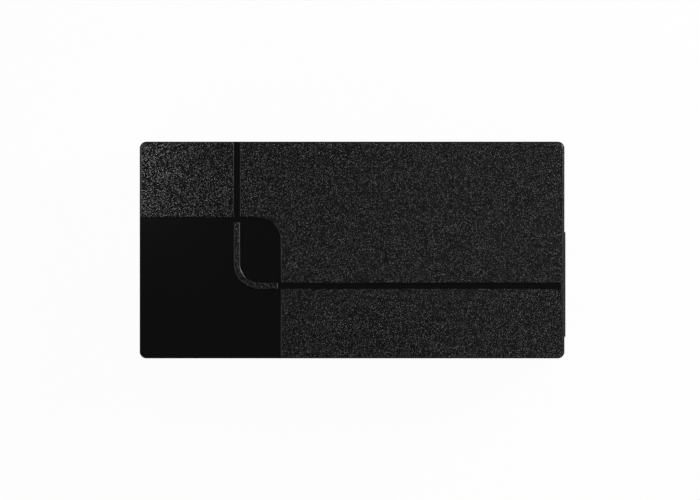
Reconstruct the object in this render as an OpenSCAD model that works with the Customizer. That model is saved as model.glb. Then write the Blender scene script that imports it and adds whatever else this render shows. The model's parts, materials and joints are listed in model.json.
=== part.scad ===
// Power-over-Ethernet injector: a flat plastic case with a mains inlet at one
// end and a pair of modular sockets at the other, on a single circuit board.
// The origin is on the surface under the feet, below the middle of the case.
// X runs from the inlet end to the socket end, Y across the case, Z up.

/* [Case] */
// Length of the case, end face to end face
case_l = 125.8; // [124:0.2:160]
// Width of the case, side to side
case_w = 64.2; // [63:0.2:84]
// Height of the case, without its feet
case_h = 37; // [36:0.5:50]
// Thickness of the side and end walls
wall = 2.2; // [2:0.1:2.8]
// Thickness of the roof
roof_t = 2.2; // [1.8:0.1:3]
// Thickness of the floor
floor_t = 2.2; // [2:0.1:3]
// Radius of the upright corners outside
corner_r = 2; // [1.5:0.1:3]
// Radius of the upright corners inside
inner_r = 0.8; // [0.5:0.1:2]
// Radius of the top and bottom edges
edge_r = 0.6; // [0.4:0.1:1]
// Height of the lip that lines up the two shells
lip_h = 1.6; // [1:0.1:2.4]
// Thickness of that lip
lip_t = 1; // [0.8:0.1:1.2]
// Width of the line that shows between the shells
seam = 0.3; // [0.1:0.1:0.5]

/* [Top face] */
// Depth of the grooves and of the polished corner
recess_d = 0.4; // [0.2:0.1:0.6]
// Side of the square polished corner
gloss = 41.8; // [36:0.2:46]
// Radius where its two inner sides meet
gloss_r = 6.8; // [3:0.2:12]
// Width of the grooves and of the raised rib
groove_w = 1.8; // [1.2:0.1:3]
// Distance of the cross groove from the inlet end
cross_at = 28.8; // [24:0.2:32]
// Distance of the long groove from the near side
long_at = 21.5; // [16:0.5:26]
// Length of face left between the long groove and the socket end
groove_stop = 1.1; // [0.8:0.1:6]
// Radius of the rib's bend, along its middle
rib_r = 6.6; // [4:0.2:9]
// Gap between the rib and the cross groove
rib_gap_cross = 1.5; // [0.6:0.1:3]
// Gap between the rib and the long groove
rib_gap_long = 0.9; // [0.6:0.1:3]

/* [Base] */
// Radius of a rubber foot
foot_r = 4.5; // [3.5:0.1:5]
// Height of a foot under the case
foot_h = 1; // [0.6:0.1:2]
// Depth that a foot is set into the floor
foot_seat = 0.8; // [0.5:0.1:1.2]
// Length of the rating label
label_l = 50; // [30:1:56]
// Width of the rating label
label_w = 34; // [20:1:50]
// Thickness of the rating label
label_t = 0.25; // [0.15:0.05:0.4]
// Distance between the two wall keyholes
key_pitch = 80; // [76:1:90]
// Radius of a keyhole's round entry
key_r = 4; // [3.5:0.1:4.5]
// Radius of a keyhole's slot
key_slot_r = 2.1; // [1.8:0.1:2.4]
// Length of a keyhole's slot
key_slot_l = 7; // [6:0.5:8]
// Depth of the closed pocket over a keyhole
key_pocket_d = 2.4; // [2:0.1:2.6]

/* [Fasteners] */
// Radius of a boss for a case screw
boss_r = 4.2; // [3.9:0.1:4.5]
// Radius of the case screws' shanks
case_screw_r = 1.5; // [1.2:0.1:1.6]
// Length of the case screws under their heads
case_screw_l = 18; // [12:1:22]
// Radius of the case screws' heads
case_head_r = 2.9; // [2.5:0.1:3]
// Height of the posts that carry the board
standoff_h = 4; // [3.8:0.2:6]
// Radius of those posts
standoff_r = 3; // [2.6:0.1:3.4]
// Radius of the board screws' shanks
board_screw_r = 1.4; // [1:0.1:1.6]
// Length of the board screws under their heads
board_screw_l = 5; // [4:0.5:5.5]
// Radius of the board screws' heads
board_head_r = 2.7; // [2.2:0.1:3]
// Height of every screw head
head_h = 1.8; // [1.4:0.1:2]

/* [Circuit board] */
// Thickness of the board
board_t = 1.6; // [1:0.1:2]
// Gap round the board
board_gap = 0.6; // [0.4:0.1:1]
// Thickness of the insulating sheet on the floor
sheet_t = 0.3; // [0.2:0.1:0.5]

/* [Modular sockets] */
// Width of the double socket
jack_w = 31.3; // [30.8:0.1:32]
// Height of the double socket
jack_h = 13.2; // [13:0.1:14]
// Depth of the double socket
jack_d = 16.5; // [16:0.1:20]
// Distance that the sockets stand out of the end face
jack_out = 0.8; // [0.2:0.1:1.4]
// Distance between the middles of the two ports
port_pitch = 15.2; // [14.8:0.1:15.6]
// Width of a port
port_w = 11.9; // [11.7:0.1:12.2]
// Height of a port
port_h = 6.8; // [6.6:0.1:7]
// Depth of a port
port_d = 13; // [12:0.1:13.5]
// Distance between two contacts of a port
contact_pitch = 1.02; // [1:0.01:1.1]
// Width of a contact
contact_w = 0.45; // [0.35:0.05:0.6]
// Thickness of a contact
contact_t = 0.35; // [0.25:0.05:0.4]
// Slope of the contact springs at rest
spring_slope = 20; // [16:1:21]
// Length of a contact spring
spring_l = 7.2; // [6:0.1:7.4]

/* [Mains inlet] */
// Width of the inlet's body
inlet_w = 27.6; // [27:0.1:30]
// Height of the inlet's body
inlet_h = 20; // [19.6:0.1:21]
// Depth of the inlet's body
inlet_d = 22; // [20:0.1:22]
// Distance that the inlet lies behind the end face
inlet_in = 0.3; // [0:0.1:1]
// Width of the inlet's cavity
cavity_w = 24.4; // [24.2:0.1:25]
// Height of the inlet's cavity
cavity_h = 16.6; // [16.4:0.1:17]
// Depth of the inlet's cavity
cavity_d = 17; // [16:0.1:18]
// Size of the cavity's two cut corners
cavity_cut = 4.7; // [4:0.1:5]
// Distance between the line and neutral blades
blade_pitch = 14; // [13.8:0.1:14.2]
// Height of the earth blade over the other two
earth_rise = 4; // [3.8:0.1:4.2]
// Distance that the blades end behind the inlet's face
blade_in = 1.5; // [1:0.1:3]

/* [Power parts] */
// Radius of the bulk capacitor
bulk_r = 9; // [8:0.1:9]
// Height of the bulk capacitor
bulk_h = 25; // [18:0.5:25]
// Side of the transformer's core
core_side = 26; // [24:0.2:26]
// Thickness of the transformer's core
core_t = 9; // [7:0.2:10]
// Height of the transformer's winding
winding_h = 19; // [16:0.2:20]
// Height of the heatsinks
sink_h = 22; // [21:0.5:24]
// Thickness of the heatsinks
sink_t = 2; // [1.5:0.1:2.5]
// Length of the primary heatsink
primary_sink_l = 34; // [24:1:34]
// Length of the secondary heatsink
secondary_sink_l = 24; // [16:1:24]
// Radius of an output capacitor
output_r = 5; // [4:0.1:5]
// Height of an output capacitor
output_h = 20; // [12:0.5:24]
// Distance between the output capacitors
output_pitch = 10.5; // [10.2:0.1:11]

/* [Indicators] */
// Radius of a light pipe
pipe_r = 1.25; // [0.8:0.05:1.5]
// Distance between the two light pipes
pipe_pitch = 6; // [5:0.5:8]

/* [Clearances] */
// Gap round a part that passes through or lies in a wall
fit = 0.15; // [0.1:0.05:0.3]
// Gap round a shank in its hole
shank_fit = 0.1; // [0.05:0.05:0.2]
// Gap round a blade, a core or a light pipe in its hole
snug = 0.05; // [0.05:0.05:0.1]

/* [Hidden] */
$fn = 48;

past = 1;                                  // how far a cut runs past the face it opens
inner_l = case_l - 2 * wall;
inner_w = case_w - 2 * wall;
floor_z = foot_h + floor_t;
top_z = foot_h + case_h;
roof_z = top_z - roof_t;
board_z = floor_z + standoff_h;
deck_z = board_z + board_t;                // upper face of the board, which carries the parts
split_z = deck_z + jack_h + fit;           // the two shells meet just over the sockets

inlet_end = -case_l / 2;
socket_end = case_l / 2;
jack_y = -10.3;                            // the sockets lie off the middle, towards the near side
jack_at = [socket_end + jack_out, jack_y, deck_z];
inlet_at = [inlet_end + inlet_in, 0, deck_z];

boss_inset = boss_r - 0.6;                 // the boss grows into the wall by this much less
boss_y = inner_w / 2 - boss_inset;
rear_boss_x = -inner_l / 2 + boss_inset;
front_boss_x = jack_at[0] - jack_d - boss_r - 1;
boss_at = [for (x = [rear_boss_x, front_boss_x], s = [-1, 1]) [x, s * boss_y]];
boss_joint_z = deck_z + 3;
screw_seat_z = foot_h + 3;                 // the case screws' heads lie up inside the bosses
top_boss_r = boss_r - 0.7;

standoff_y = inner_w / 2 - 4.9;
standoff_at = [for (x = [inlet_end + 26.9, socket_end - 30], s = [-1, 1]) [x, s * standoff_y]];
foot_y = case_w / 2 - 7.6;
foot_at = [for (x = [inlet_end + 15.4, socket_end - 8.9], s = [-1, 1]) [x, s * foot_y]];
key_at = [for (s = [-1, 1]) [s * key_pitch / 2, 0]];
key_wall = 1;

led_size = [2.6, 3, 3.2];
led_x = socket_end - wall - 2.6;
led_y = jack_y + jack_w / 2 + 11;
led_at = [for (s = [-1, 1]) [led_x, led_y + s * pipe_pitch / 2]];
pipe_z = deck_z + led_size[2] / 2;
pipe_flange = 0.7;

// The comb recess over a port, and the bend that its contact springs flex about
port_z = 4.2;
comb_z = port_z + port_h;
comb_h = jack_h - comb_z - 0.7;
comb_w = 8 * contact_pitch + 0.4;
comb_in = 1.6;
bend_r = contact_t / 2 + 0.07;             // each spring is rolled round the axis that it flexes about
bend = [-2.8, comb_z + comb_h - 0.1 - contact_t - 0.1 - bend_r];
terminal_out = 0.2;

sink_y = inner_w / 2 - 4.5;                // inner face of a heatsink
pad_t = 0.3;
tab = [10, 1.3, 15.6];
package_lift = 5;
package_body = [10, 4.5, 9];
tab_hole_z = package_lift + tab[2] - 2.8;
tab_hole_r = 1.85;
sink_screw_r = 1.5;
primary_x = -3;
primary_package_x = 0;
secondary_x = 18;

core_leg = 7;                              // width of the core's middle leg
core_rim = 3.5;
bobbin_t = 1;

// Where the parts stand on the board: X and Y of each one's middle
core_at = [6, -4, deck_z + 3 + winding_h / 2];
bulk_at = [-14.5, inner_w / 2 - bulk_r - 3.4];
safety_capacitor_at = [1, inner_w / 2 - 9.5];
optocoupler_at = [10, inner_w / 2 - 15.4];
supply_controller_at = [-12.6, -9];
output_capacitors_at = [socket_end - 36.9, 2.5];
output_choke_at = [socket_end - 39.2, -inner_w / 2 + 8.9];
port_transformers_at = [socket_end - 24.5, -4.2];
port_controller_at = [socket_end - 23, jack_y + jack_w / 2 + 10.5];

// ---------------------------------------------------------------- outlines
module outline(l, w, r) {
    square([l - 2 * r, w], center = true);
    square([l, w - 2 * r], center = true);
    for (sx = [-1, 1], sy = [-1, 1])
        translate([sx * (l / 2 - r), sy * (w / 2 - r)]) circle(r);
}

// A block with rounded upright corners and a rounded rim round its upper face
module rounded_block(l, w, h, r, e) {
    linear_extrude(h - e) outline(l, w, r);
    linear_extrude(h) outline(l - 2 * e, w - 2 * e, r - e);
    for (s = [-1, 1]) {
        translate([0, s * (w / 2 - e), h - e])
            rotate([0, 90, 0]) cylinder(r = e, h = l - 2 * r, center = true);
        translate([s * (l / 2 - e), 0, h - e])
            rotate([90, 0, 0]) cylinder(r = e, h = w - 2 * r, center = true);
    }
    for (sx = [-1, 1], sy = [-1, 1])
        translate([sx * (l / 2 - r), sy * (w / 2 - r), h - e])
            rotate_extrude() translate([r - e, 0]) circle(e);
}

// Turns an outline drawn as Y and Z into a bar that runs along +X
module along_x(l) {
    rotate([90, 0, 90]) linear_extrude(l) children();
}

// Turns an outline drawn as X and Z into a strip, centred across Y
module across_y(w) {
    translate([0, w / 2, 0]) rotate([90, 0, 0]) linear_extrude(w) children();
}

module at_each(places) {
    for (p = places) translate([p[0], p[1], 0]) children();
}

// ------------------------------------------------------------------- case
// The sunk pattern of the top face: two grooves and the polished corner, with
// the rib that carries on the line of the grooves left standing in the corner
module sunk_pattern() {
    cross_x = inlet_end + cross_at;
    long_y = -case_w / 2 + long_at;
    corner = [inlet_end + gloss, -case_w / 2 + gloss];
    bend_x = cross_x + rib_r;
    bend_y = long_y + rib_r;
    difference() {
        union() {
            translate([inlet_end - past, -case_w / 2 - past])
                square([gloss + past, gloss - gloss_r + past]);
            translate([inlet_end - past, -case_w / 2 - past])
                square([gloss - gloss_r + past, gloss + past]);
            translate([corner[0] - gloss_r, corner[1] - gloss_r]) circle(gloss_r);
            translate([cross_x - groove_w / 2, corner[1] - past])
                square([groove_w, case_w - gloss + 2 * past]);
            translate([corner[0] - past, long_y - groove_w / 2])
                square([case_l - gloss - groove_stop + past, groove_w]);
        }
        translate([cross_x - groove_w / 2, bend_y])
            square([groove_w, corner[1] - rib_gap_cross - bend_y]);
        translate([bend_x, long_y - groove_w / 2])
            square([corner[0] - rib_gap_long - bend_x, groove_w]);
        intersection() {
            translate([bend_x, bend_y]) difference() {
                circle(rib_r + groove_w / 2);
                circle(rib_r - groove_w / 2);
            }
            translate([bend_x - 2 * rib_r, bend_y - 2 * rib_r]) square(2 * rib_r);
        }
    }
}

module inner_plan(grow = 0) {
    outline(inner_l + 2 * grow, inner_w + 2 * grow, inner_r + grow);
}

// The cuts that let the sockets and the inlet through the end walls
module jack_cut() {
    translate([socket_end - wall - past, jack_y - jack_w / 2 - fit, deck_z - fit])
        cube([wall + 2 * past, jack_w + 2 * fit, jack_h + 2 * fit]);
}

module inlet_cut() {
    translate([inlet_end - past, -inlet_w / 2 - fit, deck_z - fit])
        cube([wall + 2 * past, inlet_w + 2 * fit, inlet_h + 2 * fit]);
}

module top_shell() {
    lower_z = split_z + seam;
    h = top_z - lower_z;
    color("#1c1c1d") difference() {
        union() {
            difference() {
                translate([0, 0, lower_z]) {
                    rounded_block(case_l, case_w, h - recess_d, corner_r, edge_r);
                    difference() {
                        rounded_block(case_l, case_w, h, corner_r, edge_r);
                        translate([0, 0, h - recess_d])
                            linear_extrude(recess_d + past) sunk_pattern();
                    }
                }
                translate([0, 0, lower_z - past])
                    linear_extrude(roof_z - lower_z + past) inner_plan();
                difference() {
                    translate([0, 0, lower_z - past])
                        linear_extrude(lip_h + fit + past - seam) inner_plan(lip_t + fit);
                    over_jack(lip_h + past);
                }
            }
            over_jack(seam + past / 2);
            at_each(boss_at) translate([0, 0, boss_joint_z])
                cylinder(r = top_boss_r, h = roof_z + roof_t / 2 - boss_joint_z);
        }
        inlet_cut();
        at_each(boss_at) translate([0, 0, boss_joint_z - past])
            cylinder(r = case_screw_r + shank_fit, h = case_screw_l - boss_joint_z + screw_seat_z + 2 * past);
    }
}

// The stretch of end wall that closes the sockets' cut from above
module over_jack(h) {
    translate([socket_end - wall, jack_y - jack_w / 2, split_z])
        cube([wall, jack_w, h]);
}

module keyhole(h) {
    cylinder(r = key_r, h = h);
    translate([-key_slot_r, 0, 0]) cube([2 * key_slot_r, key_slot_l, h]);
    translate([0, key_slot_l, 0]) cylinder(r = key_slot_r, h = h);
}

// The room over a keyhole in which the wall screw's head slides
module key_room(grow, h) {
    translate([-key_r - grow, -key_r - grow, 0])
        cube([2 * (key_r + grow), key_slot_l + 2 * key_r + 2 * grow, h]);
}

module bottom_shell() {
    color("#1a1a1b") difference() {
        union() {
            difference() {
                translate([0, 0, split_z]) mirror([0, 0, 1])
                    rounded_block(case_l, case_w, split_z - foot_h, corner_r, edge_r);
                translate([0, 0, floor_z])
                    linear_extrude(split_z - floor_z + past) inner_plan();
            }
            translate([0, 0, split_z - past]) linear_extrude(lip_h + past) difference() {
                inner_plan(lip_t);
                inner_plan();
            }
            at_each(boss_at) translate([0, 0, floor_z - floor_t / 2])
                cylinder(r = boss_r, h = boss_joint_z - floor_z + floor_t / 2);
            at_each(standoff_at) translate([0, 0, floor_z - floor_t / 2])
                cylinder(r = standoff_r, h = standoff_h + floor_t / 2);
            at_each(key_at) translate([0, 0, floor_z - floor_t / 2])
                key_room(key_wall, floor_t / 2 + key_pocket_d + key_wall);
        }
        jack_cut();
        translate([socket_end - wall - past, jack_y - jack_w / 2 - fit, split_z - past])
            cube([wall + past, jack_w + 2 * fit, lip_h + 2 * past]);
        inlet_cut();
        at_each(boss_at) {
            translate([0, 0, foot_h - past])
                cylinder(r = case_head_r + fit, h = screw_seat_z - foot_h + past);
            translate([0, 0, foot_h])
                cylinder(r = case_screw_r + shank_fit, h = boss_joint_z);
        }
        at_each(standoff_at) translate([0, 0, floor_z])
            cylinder(r = board_screw_r + shank_fit, h = standoff_h + past);
        at_each(foot_at) translate([0, 0, foot_h - past])
            cylinder(r = foot_r + fit, h = foot_seat + past);
        at_each(key_at) {
            translate([0, 0, foot_h - past]) keyhole(floor_t + past + key_pocket_d / 2);
            translate([0, 0, floor_z]) key_room(0, key_pocket_d);
        }
        translate([0, 0, foot_h - past])
            linear_extrude(past + label_t + snug) outline(label_l + 2 * fit, label_w + 2 * fit, 2 + fit);
        for (p = led_at) translate([socket_end - wall - past, p[1], pipe_z])
            rotate([0, 90, 0]) cylinder(r = pipe_r + snug, h = wall + 2 * past);
    }
}

module rubber_feet() {
    soft = 0.4;
    h = foot_h + foot_seat;
    color("#262626") at_each(foot_at) rotate_extrude()
        polygon([[0, 0], [foot_r - soft, 0], [foot_r, soft], [foot_r, h], [0, h]]);
}

// A pan-head screw with a cross recess, its head's seat at z = 0 and its shank up
module screw(shank_r, shank_l, head_r) {
    cross = [head_r * 1.15, head_r * 0.3, head_h * 0.6];
    difference() {
        union() {
            translate([0, 0, -head_h]) cylinder(r = head_r, h = head_h);
            translate([0, 0, -head_h / 2]) cylinder(r = shank_r, h = shank_l + head_h / 2);
        }
        for (a = [0, 90]) rotate([0, 0, a])
            translate([-cross[0] / 2, -cross[1] / 2, -head_h - past])
                cube([cross[0], cross[1], cross[2] + past]);
    }
}

module case_screws() {
    color("#8f9296") at_each(boss_at) translate([0, 0, screw_seat_z])
        screw(case_screw_r, case_screw_l, case_head_r);
}

module rating_label() {
    color("#c9cbcc") translate([0, 0, foot_h + snug])
        linear_extrude(label_t) outline(label_l, label_w, 2);
}

// ------------------------------------------------------------------ board
module board_plan(gap) {
    notch = boss_r + gap;
    difference() {
        square([inner_l - 2 * gap, inner_w - 2 * gap], center = true);
        for (p = boss_at) {
            reach = p[0] < 0 ? boss_inset + past : notch;  // the rear notches run out of the end
            translate([p[0] - reach, p[1] > 0 ? p[1] - notch : -inner_w / 2 - past])
                square([reach + notch, boss_inset + notch + past]);
        }
    }
}

module insulation_sheet() {
    color("#d8cfae") translate([0, 0, floor_z]) linear_extrude(sheet_t) difference() {
        board_plan(board_gap);
        at_each(standoff_at) circle(standoff_r + fit);
        for (p = key_at) translate([p[0] - key_r - key_wall - fit, p[1] - key_r - key_wall - fit])
            square([2 * (key_r + key_wall + fit), key_slot_l + 2 * (key_r + key_wall + fit)]);
    }
}

module circuit_board() {
    color("#1f5a36") translate([0, 0, board_z]) linear_extrude(board_t) difference() {
        board_plan(board_gap);
        at_each(standoff_at) circle(board_screw_r + shank_fit);
    }
}

module board_screws() {
    color("#a9abad") at_each(standoff_at) translate([0, 0, deck_z]) mirror([0, 0, 1])
        screw(board_screw_r, board_screw_l, board_head_r);
}

// ------------------------------------------------------------ mains inlet
module cavity_outline() {
    w = cavity_w / 2;
    h = cavity_h / 2;
    polygon([[-w, -h], [w, -h], [w, h - cavity_cut], [w - cavity_cut, h],
             [cavity_cut - w, h], [-w, h - cavity_cut]]);
}

// Middle of each blade, as Y and Z from the middle of the cavity
blade = [2, 4];
blade_at = [[-blade_pitch / 2, -earth_rise / 2], [0, earth_rise / 2], [blade_pitch / 2, -earth_rise / 2]];
blade_tail = 1;

module inlet_body() {
    color("#121213") translate(inlet_at) translate([0, 0, inlet_h / 2]) difference() {
        along_x(inlet_d) outline(inlet_w, inlet_h, 1);
        translate([-past, 0, 0]) along_x(cavity_d + past) cavity_outline();
        for (p = blade_at) translate([cavity_d - past, 0, 0]) along_x(inlet_d)
            translate(p) square([blade[0] + 2 * snug, blade[1] + 2 * snug], center = true);
    }
}

module inlet_blades() {
    color("#b9bcc0") translate(inlet_at) for (p = blade_at) {
        z = inlet_h / 2 + p[1];
        translate([blade_in, 0, inlet_h / 2]) along_x(inlet_d - blade_in + blade_tail)
            translate(p) square(blade, center = true);
        translate([inlet_d, p[0] - blade[0] / 2, 0]) cube([blade_tail, blade[0], z]);
    }
}

// ------------------------------------------------------- mains side parts
mains_x = inlet_at[0] + inlet_d + blade_tail;  // the first free place on the board behind the inlet
fuse_l = 20;
fuse_r = 2.6;
fuse_cap_l = 5;
fuse_cap_t = 0.3;
fuse_at = [inlet_end + 22.9, inner_w / 2 - 11.6, deck_z + fuse_r + fuse_cap_t + 1];

module fuse_tube() {
    color("#dfe7e8", 0.5) translate(fuse_at) rotate([0, 90, 0])
        cylinder(r = fuse_r - snug, h = fuse_l - 2 * fuse_cap_t - 2 * snug, center = true);
}

module fuse_caps() {
    color("#c2c4c6") translate(fuse_at) for (s = [-1, 1]) rotate([0, s * 90, 0])
        translate([0, 0, fuse_l / 2 - fuse_cap_l]) difference() {
            cylinder(r = fuse_r + fuse_cap_t, h = fuse_cap_l);
            translate([0, 0, -past]) cylinder(r = fuse_r, h = fuse_cap_l - fuse_cap_t + past);
        }
}

module fuse_clips() {
    jaw = fuse_r + fuse_cap_t;
    t = 0.4;
    color("#c9b26a") translate(fuse_at) for (s = [-1, 1])
        translate([s * (fuse_l / 2 - fuse_cap_l / 2), 0, 0]) difference() {
            translate([-1.5, -jaw - t, -jaw - 1]) cube([3, 2 * (jaw + t), 2 * jaw]);
            rotate([0, 90, 0]) cylinder(r = jaw + snug, h = 4, center = true);
            translate([-2, -jaw - snug, 0]) cube([4, 2 * (jaw + snug), jaw + past]);
        }
}

// The parts in the row across the board behind the inlet, by their near left corners
line_capacitor_size = [9, 18, 15];
line_capacitor_at = [mains_x + 2.2, -21, deck_z];
bridge_size = [4, 18, 13];
bridge_at = [line_capacitor_at[0] + line_capacitor_size[0] + 5.9, -20, deck_z];
varistor_r = 5;
varistor_at = [line_capacitor_at[0] - varistor_r - 0.5, -inner_w / 2 + 10.9];

// A disc on edge that stands on its two wires
module disc_part(at, r, t, wire, wire_at) {
    lift = 1.5;
    translate([at[0], at[1], deck_z + r + lift]) {
        rotate([90, 0, 0]) cylinder(r = r, h = t, center = true);
        for (s = [-1, 1]) translate([s * wire_at - wire / 2, -wire / 2, -r - lift])
            cube([wire, wire, r]);
    }
}

module varistor() {
    color("#1f5fa0") disc_part(varistor_at, varistor_r, 4, 0.8, 2.5);
}

module line_capacitor() {
    color("#caa52b") translate(line_capacitor_at) cube(line_capacitor_size);
}

// A ring core stands on edge in the groove of its base
line_choke_base_size = [15, 15, 3.2];
line_choke_at = [mains_x + 0.2 + line_choke_base_size[0] / 2, 6.5, deck_z];
line_choke_r = 7.3;
line_choke_bore = 3.6;
line_choke_t = 6;
line_choke_wire = 1;
line_choke_seat = 1.2;
line_choke_z = line_choke_seat + line_choke_r - line_choke_wire;

module line_choke_base() {
    color("#2a2b2a") translate(line_choke_at) difference() {
        translate([-line_choke_base_size[0] / 2, -line_choke_base_size[1] / 2, 0])
            cube(line_choke_base_size);
        translate([0, 0, line_choke_z]) rotate([0, 90, 0])
            cylinder(r = line_choke_r - line_choke_wire + snug, h = line_choke_t + 2 * snug, center = true);
    }
}

module line_choke_core() {
    color("#3a3d3c") translate(line_choke_at) translate([0, 0, line_choke_z])
        rotate([0, 90, 0]) difference() {
            cylinder(r = line_choke_r - line_choke_wire, h = line_choke_t, center = true);
            cylinder(r = line_choke_bore + line_choke_wire, h = line_choke_t + past, center = true);
        }
}

// Two windings of enamelled wire, one over each half of the ring
module line_choke_windings() {
    depth = line_choke_t + 2 * line_choke_wire;
    reach = line_choke_z - line_choke_base_size[2] - fit;
    core_r = line_choke_r - line_choke_wire + snug;
    core_bore = line_choke_bore + line_choke_wire - snug;
    color("#a4552a") translate(line_choke_at) translate([0, 0, line_choke_z])
        for (s = [-1, 1]) intersection() {
            rotate([0, 90, 0]) difference() {
                cylinder(r = line_choke_r, h = depth, center = true);
                cylinder(r = line_choke_bore, h = depth + past, center = true);
                difference() {
                    cylinder(r = core_r, h = line_choke_t + 2 * snug, center = true);
                    cylinder(r = core_bore, h = line_choke_t + past, center = true);
                }
            }
            translate([-depth, s > 0 ? 1.6 : -line_choke_r - 1.6, -reach])
                cube([2 * depth, line_choke_r, 2 * reach]);
        }
}

module bridge_rectifier() {
    leg = 0.8;
    inset = 2;                             // of the outer two legs from the body's ends
    lift = 3;
    color("#202022") translate(bridge_at) {
        translate([0, 0, lift]) cube(bridge_size);
        for (i = [0:3])
            translate([(bridge_size[0] - leg) / 2, inset + i * (bridge_size[1] - 2 * inset - leg) / 3, 0])
                cube([leg, leg, lift + 1]);
    }
}

module can(r, h) {
    bead = 0.5;
    rotate_extrude() polygon([[0, 0], [r, 0], [r, 2], [r - bead, 2.5], [r - bead, 3], [r, 3.5],
                              [r, h - bead], [r - bead, h], [0, h]]);
}

module bulk_capacitor() {
    color("#24345a") translate([bulk_at[0], bulk_at[1], deck_z]) can(bulk_r, bulk_h);
}

// ---------------------------------------------------------- heatsink parts
// The primary heatsink stands along the near side, the secondary along the far side
module on_sink(x, side) {
    translate([x, side * sink_y, deck_z]) rotate([0, 0, side > 0 ? 180 : 0]) children();
}

module heatsink(l, screw_x) {
    translate([-l / 2, -sink_t, 0]) difference() {
        cube([l, sink_t, sink_h]);
        translate([screw_x + l / 2, -past, tab_hole_z]) rotate([-90, 0, 0])
            cylinder(r = sink_screw_r + shank_fit, h = sink_t + 2 * past);
    }
}

module primary_heatsink() {
    color("#b4b7ba") on_sink(primary_x, -1) heatsink(primary_sink_l, primary_package_x - primary_x);
}

module secondary_heatsink() {
    color("#b4b7ba") on_sink(secondary_x, 1) heatsink(secondary_sink_l, 0);
}

// A three-legged power package whose tab lies against the pad
module power_package() {
    translate([0, pad_t, 0]) {
        difference() {
            translate([-tab[0] / 2, 0, package_lift]) cube(tab);
            translate([0, -past, tab_hole_z]) rotate([-90, 0, 0])
                cylinder(r = tab_hole_r, h = tab[1] + 2 * past);
        }
        translate([-package_body[0] / 2, 0, package_lift]) cube(package_body);
        for (i = [-1:1]) translate([i * 2.54 - 0.4, 2.2, 0]) cube([0.8, 0.5, package_lift + 1]);
    }
}

module switching_transistor() {
    color("#1d1d1f") on_sink(primary_package_x, -1) power_package();
}

module output_rectifier() {
    color("#1d1d1f") on_sink(secondary_x, 1) power_package();
}

module insulating_pads() {
    pad = [tab[0] + 2, pad_t, tab[2] + 2];
    color("#b9c3cc") for (p = [[primary_package_x, -1], [secondary_x, 1]]) on_sink(p[0], p[1])
        difference() {
            translate([-pad[0] / 2, 0, package_lift - 1]) cube(pad);
            translate([0, -past, tab_hole_z]) rotate([-90, 0, 0])
                cylinder(r = sink_screw_r + shank_fit, h = pad_t + 2 * past);
        }
}

module heatsink_screws() {
    color("#a9abad") for (p = [[primary_package_x, -1], [secondary_x, 1]]) on_sink(p[0], p[1])
        translate([0, pad_t + tab[1], tab_hole_z]) rotate([90, 0, 0])
            screw(sink_screw_r, pad_t + tab[1] + sink_t + 1, 2.7);
}

// ------------------------------------------------------------- transformer
module transformer_core() {
    window = (core_side - 2 * core_rim - core_leg) / 2;
    color("#3b3d3f") translate(core_at) difference() {
        cube([core_side, core_side, core_t], center = true);
        for (s = [-1, 1]) translate([0, s * (core_leg + window) / 2, 0])
            cube([core_side - 2 * core_rim, window, core_t + past], center = true);
    }
}

module transformer_bobbin() {
    bore = [core_leg + 2 * fit, core_t + 2 * fit];
    l = core_side - 2 * core_rim - 2 * fit;
    w = core_side - 2 * core_rim - 2 * fit;
    rail = [3.4, w, 4];
    color("#2b2118") difference() {
        union() {
            translate(core_at)
                cube([l, bore[0] + 2 * bobbin_t, bore[1] + 2 * bobbin_t], center = true);
            for (s = [-1, 1]) translate([core_at[0] + s * (l / 2 - bobbin_t / 2), core_at[1], 0]) {
                translate([-bobbin_t / 2, -w / 2, deck_z])
                    cube([bobbin_t, w, core_at[2] + winding_h / 2 + 0.5 - deck_z]);
                translate([s > 0 ? -bobbin_t / 2 : bobbin_t / 2 - rail[0], -w / 2, deck_z]) cube(rail);
            }
        }
        translate(core_at) cube([l + 2 * past, bore[0], bore[1]], center = true);
    }
}

module transformer_winding() {
    l = core_side - 2 * core_rim - 2 * fit - 2 * bobbin_t - 2 * fit;
    w = core_side - 2 * core_rim - 1;
    hole = [core_leg + 2 * fit + 2 * bobbin_t + 2 * snug, core_t + 2 * fit + 2 * bobbin_t + 2 * snug];
    color("#c9a326") translate(core_at) translate([-l / 2, 0, 0]) along_x(l) difference() {
        outline(w, winding_h, 3);
        square(hole, center = true);
    }
}

// -------------------------------------------------------------- small parts
module safety_capacitor() {
    color("#2f6fb0") disc_part(safety_capacitor_at, 3.8, 3.4, 0.6, 2);
}

// A moulded package on the board, with legs along two of its sides
module chip(at, size, legs, pitch, leg_w) {
    lift = 0.2;
    leg = [1.4, leg_w, 0.6];
    leg_in = 0.2;                          // how far the legs reach under the body
    translate([at[0], at[1], deck_z]) {
        translate([-size[0] / 2, -size[1] / 2, lift]) cube([size[0], size[1], size[2] - lift]);
        for (s = [-1, 1], i = [0:legs - 1])
            translate([s * (size[0] + leg[0] - 2 * leg_in) / 2, (i - (legs - 1) / 2) * pitch, leg[2] / 2])
                cube(leg, center = true);
    }
}

module optocoupler() {
    color("#e6e6e2") chip(optocoupler_at, [6.5, 4.6, 3.6], 2, 2.54, 0.6);
}

module supply_controller() {
    color("#1e1e20") chip(supply_controller_at, [4, 5, 1.7], 4, 1.27, 0.4);
}

module port_controller() {
    color("#1e1e20") chip(port_controller_at, [6, 7.8, 1.8], 12, 0.6, 0.3);
}

module output_capacitors() {
    color("#24345a") for (i = [-1:1])
        translate([output_capacitors_at[0], output_capacitors_at[1] + i * output_pitch, deck_z])
            can(output_r, output_h);
}

output_choke_z = deck_z + 1;
output_choke_wire = 0.9;
output_choke_r = 6.5;
output_choke_bore = 2.4;
output_choke_t = 5;

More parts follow.
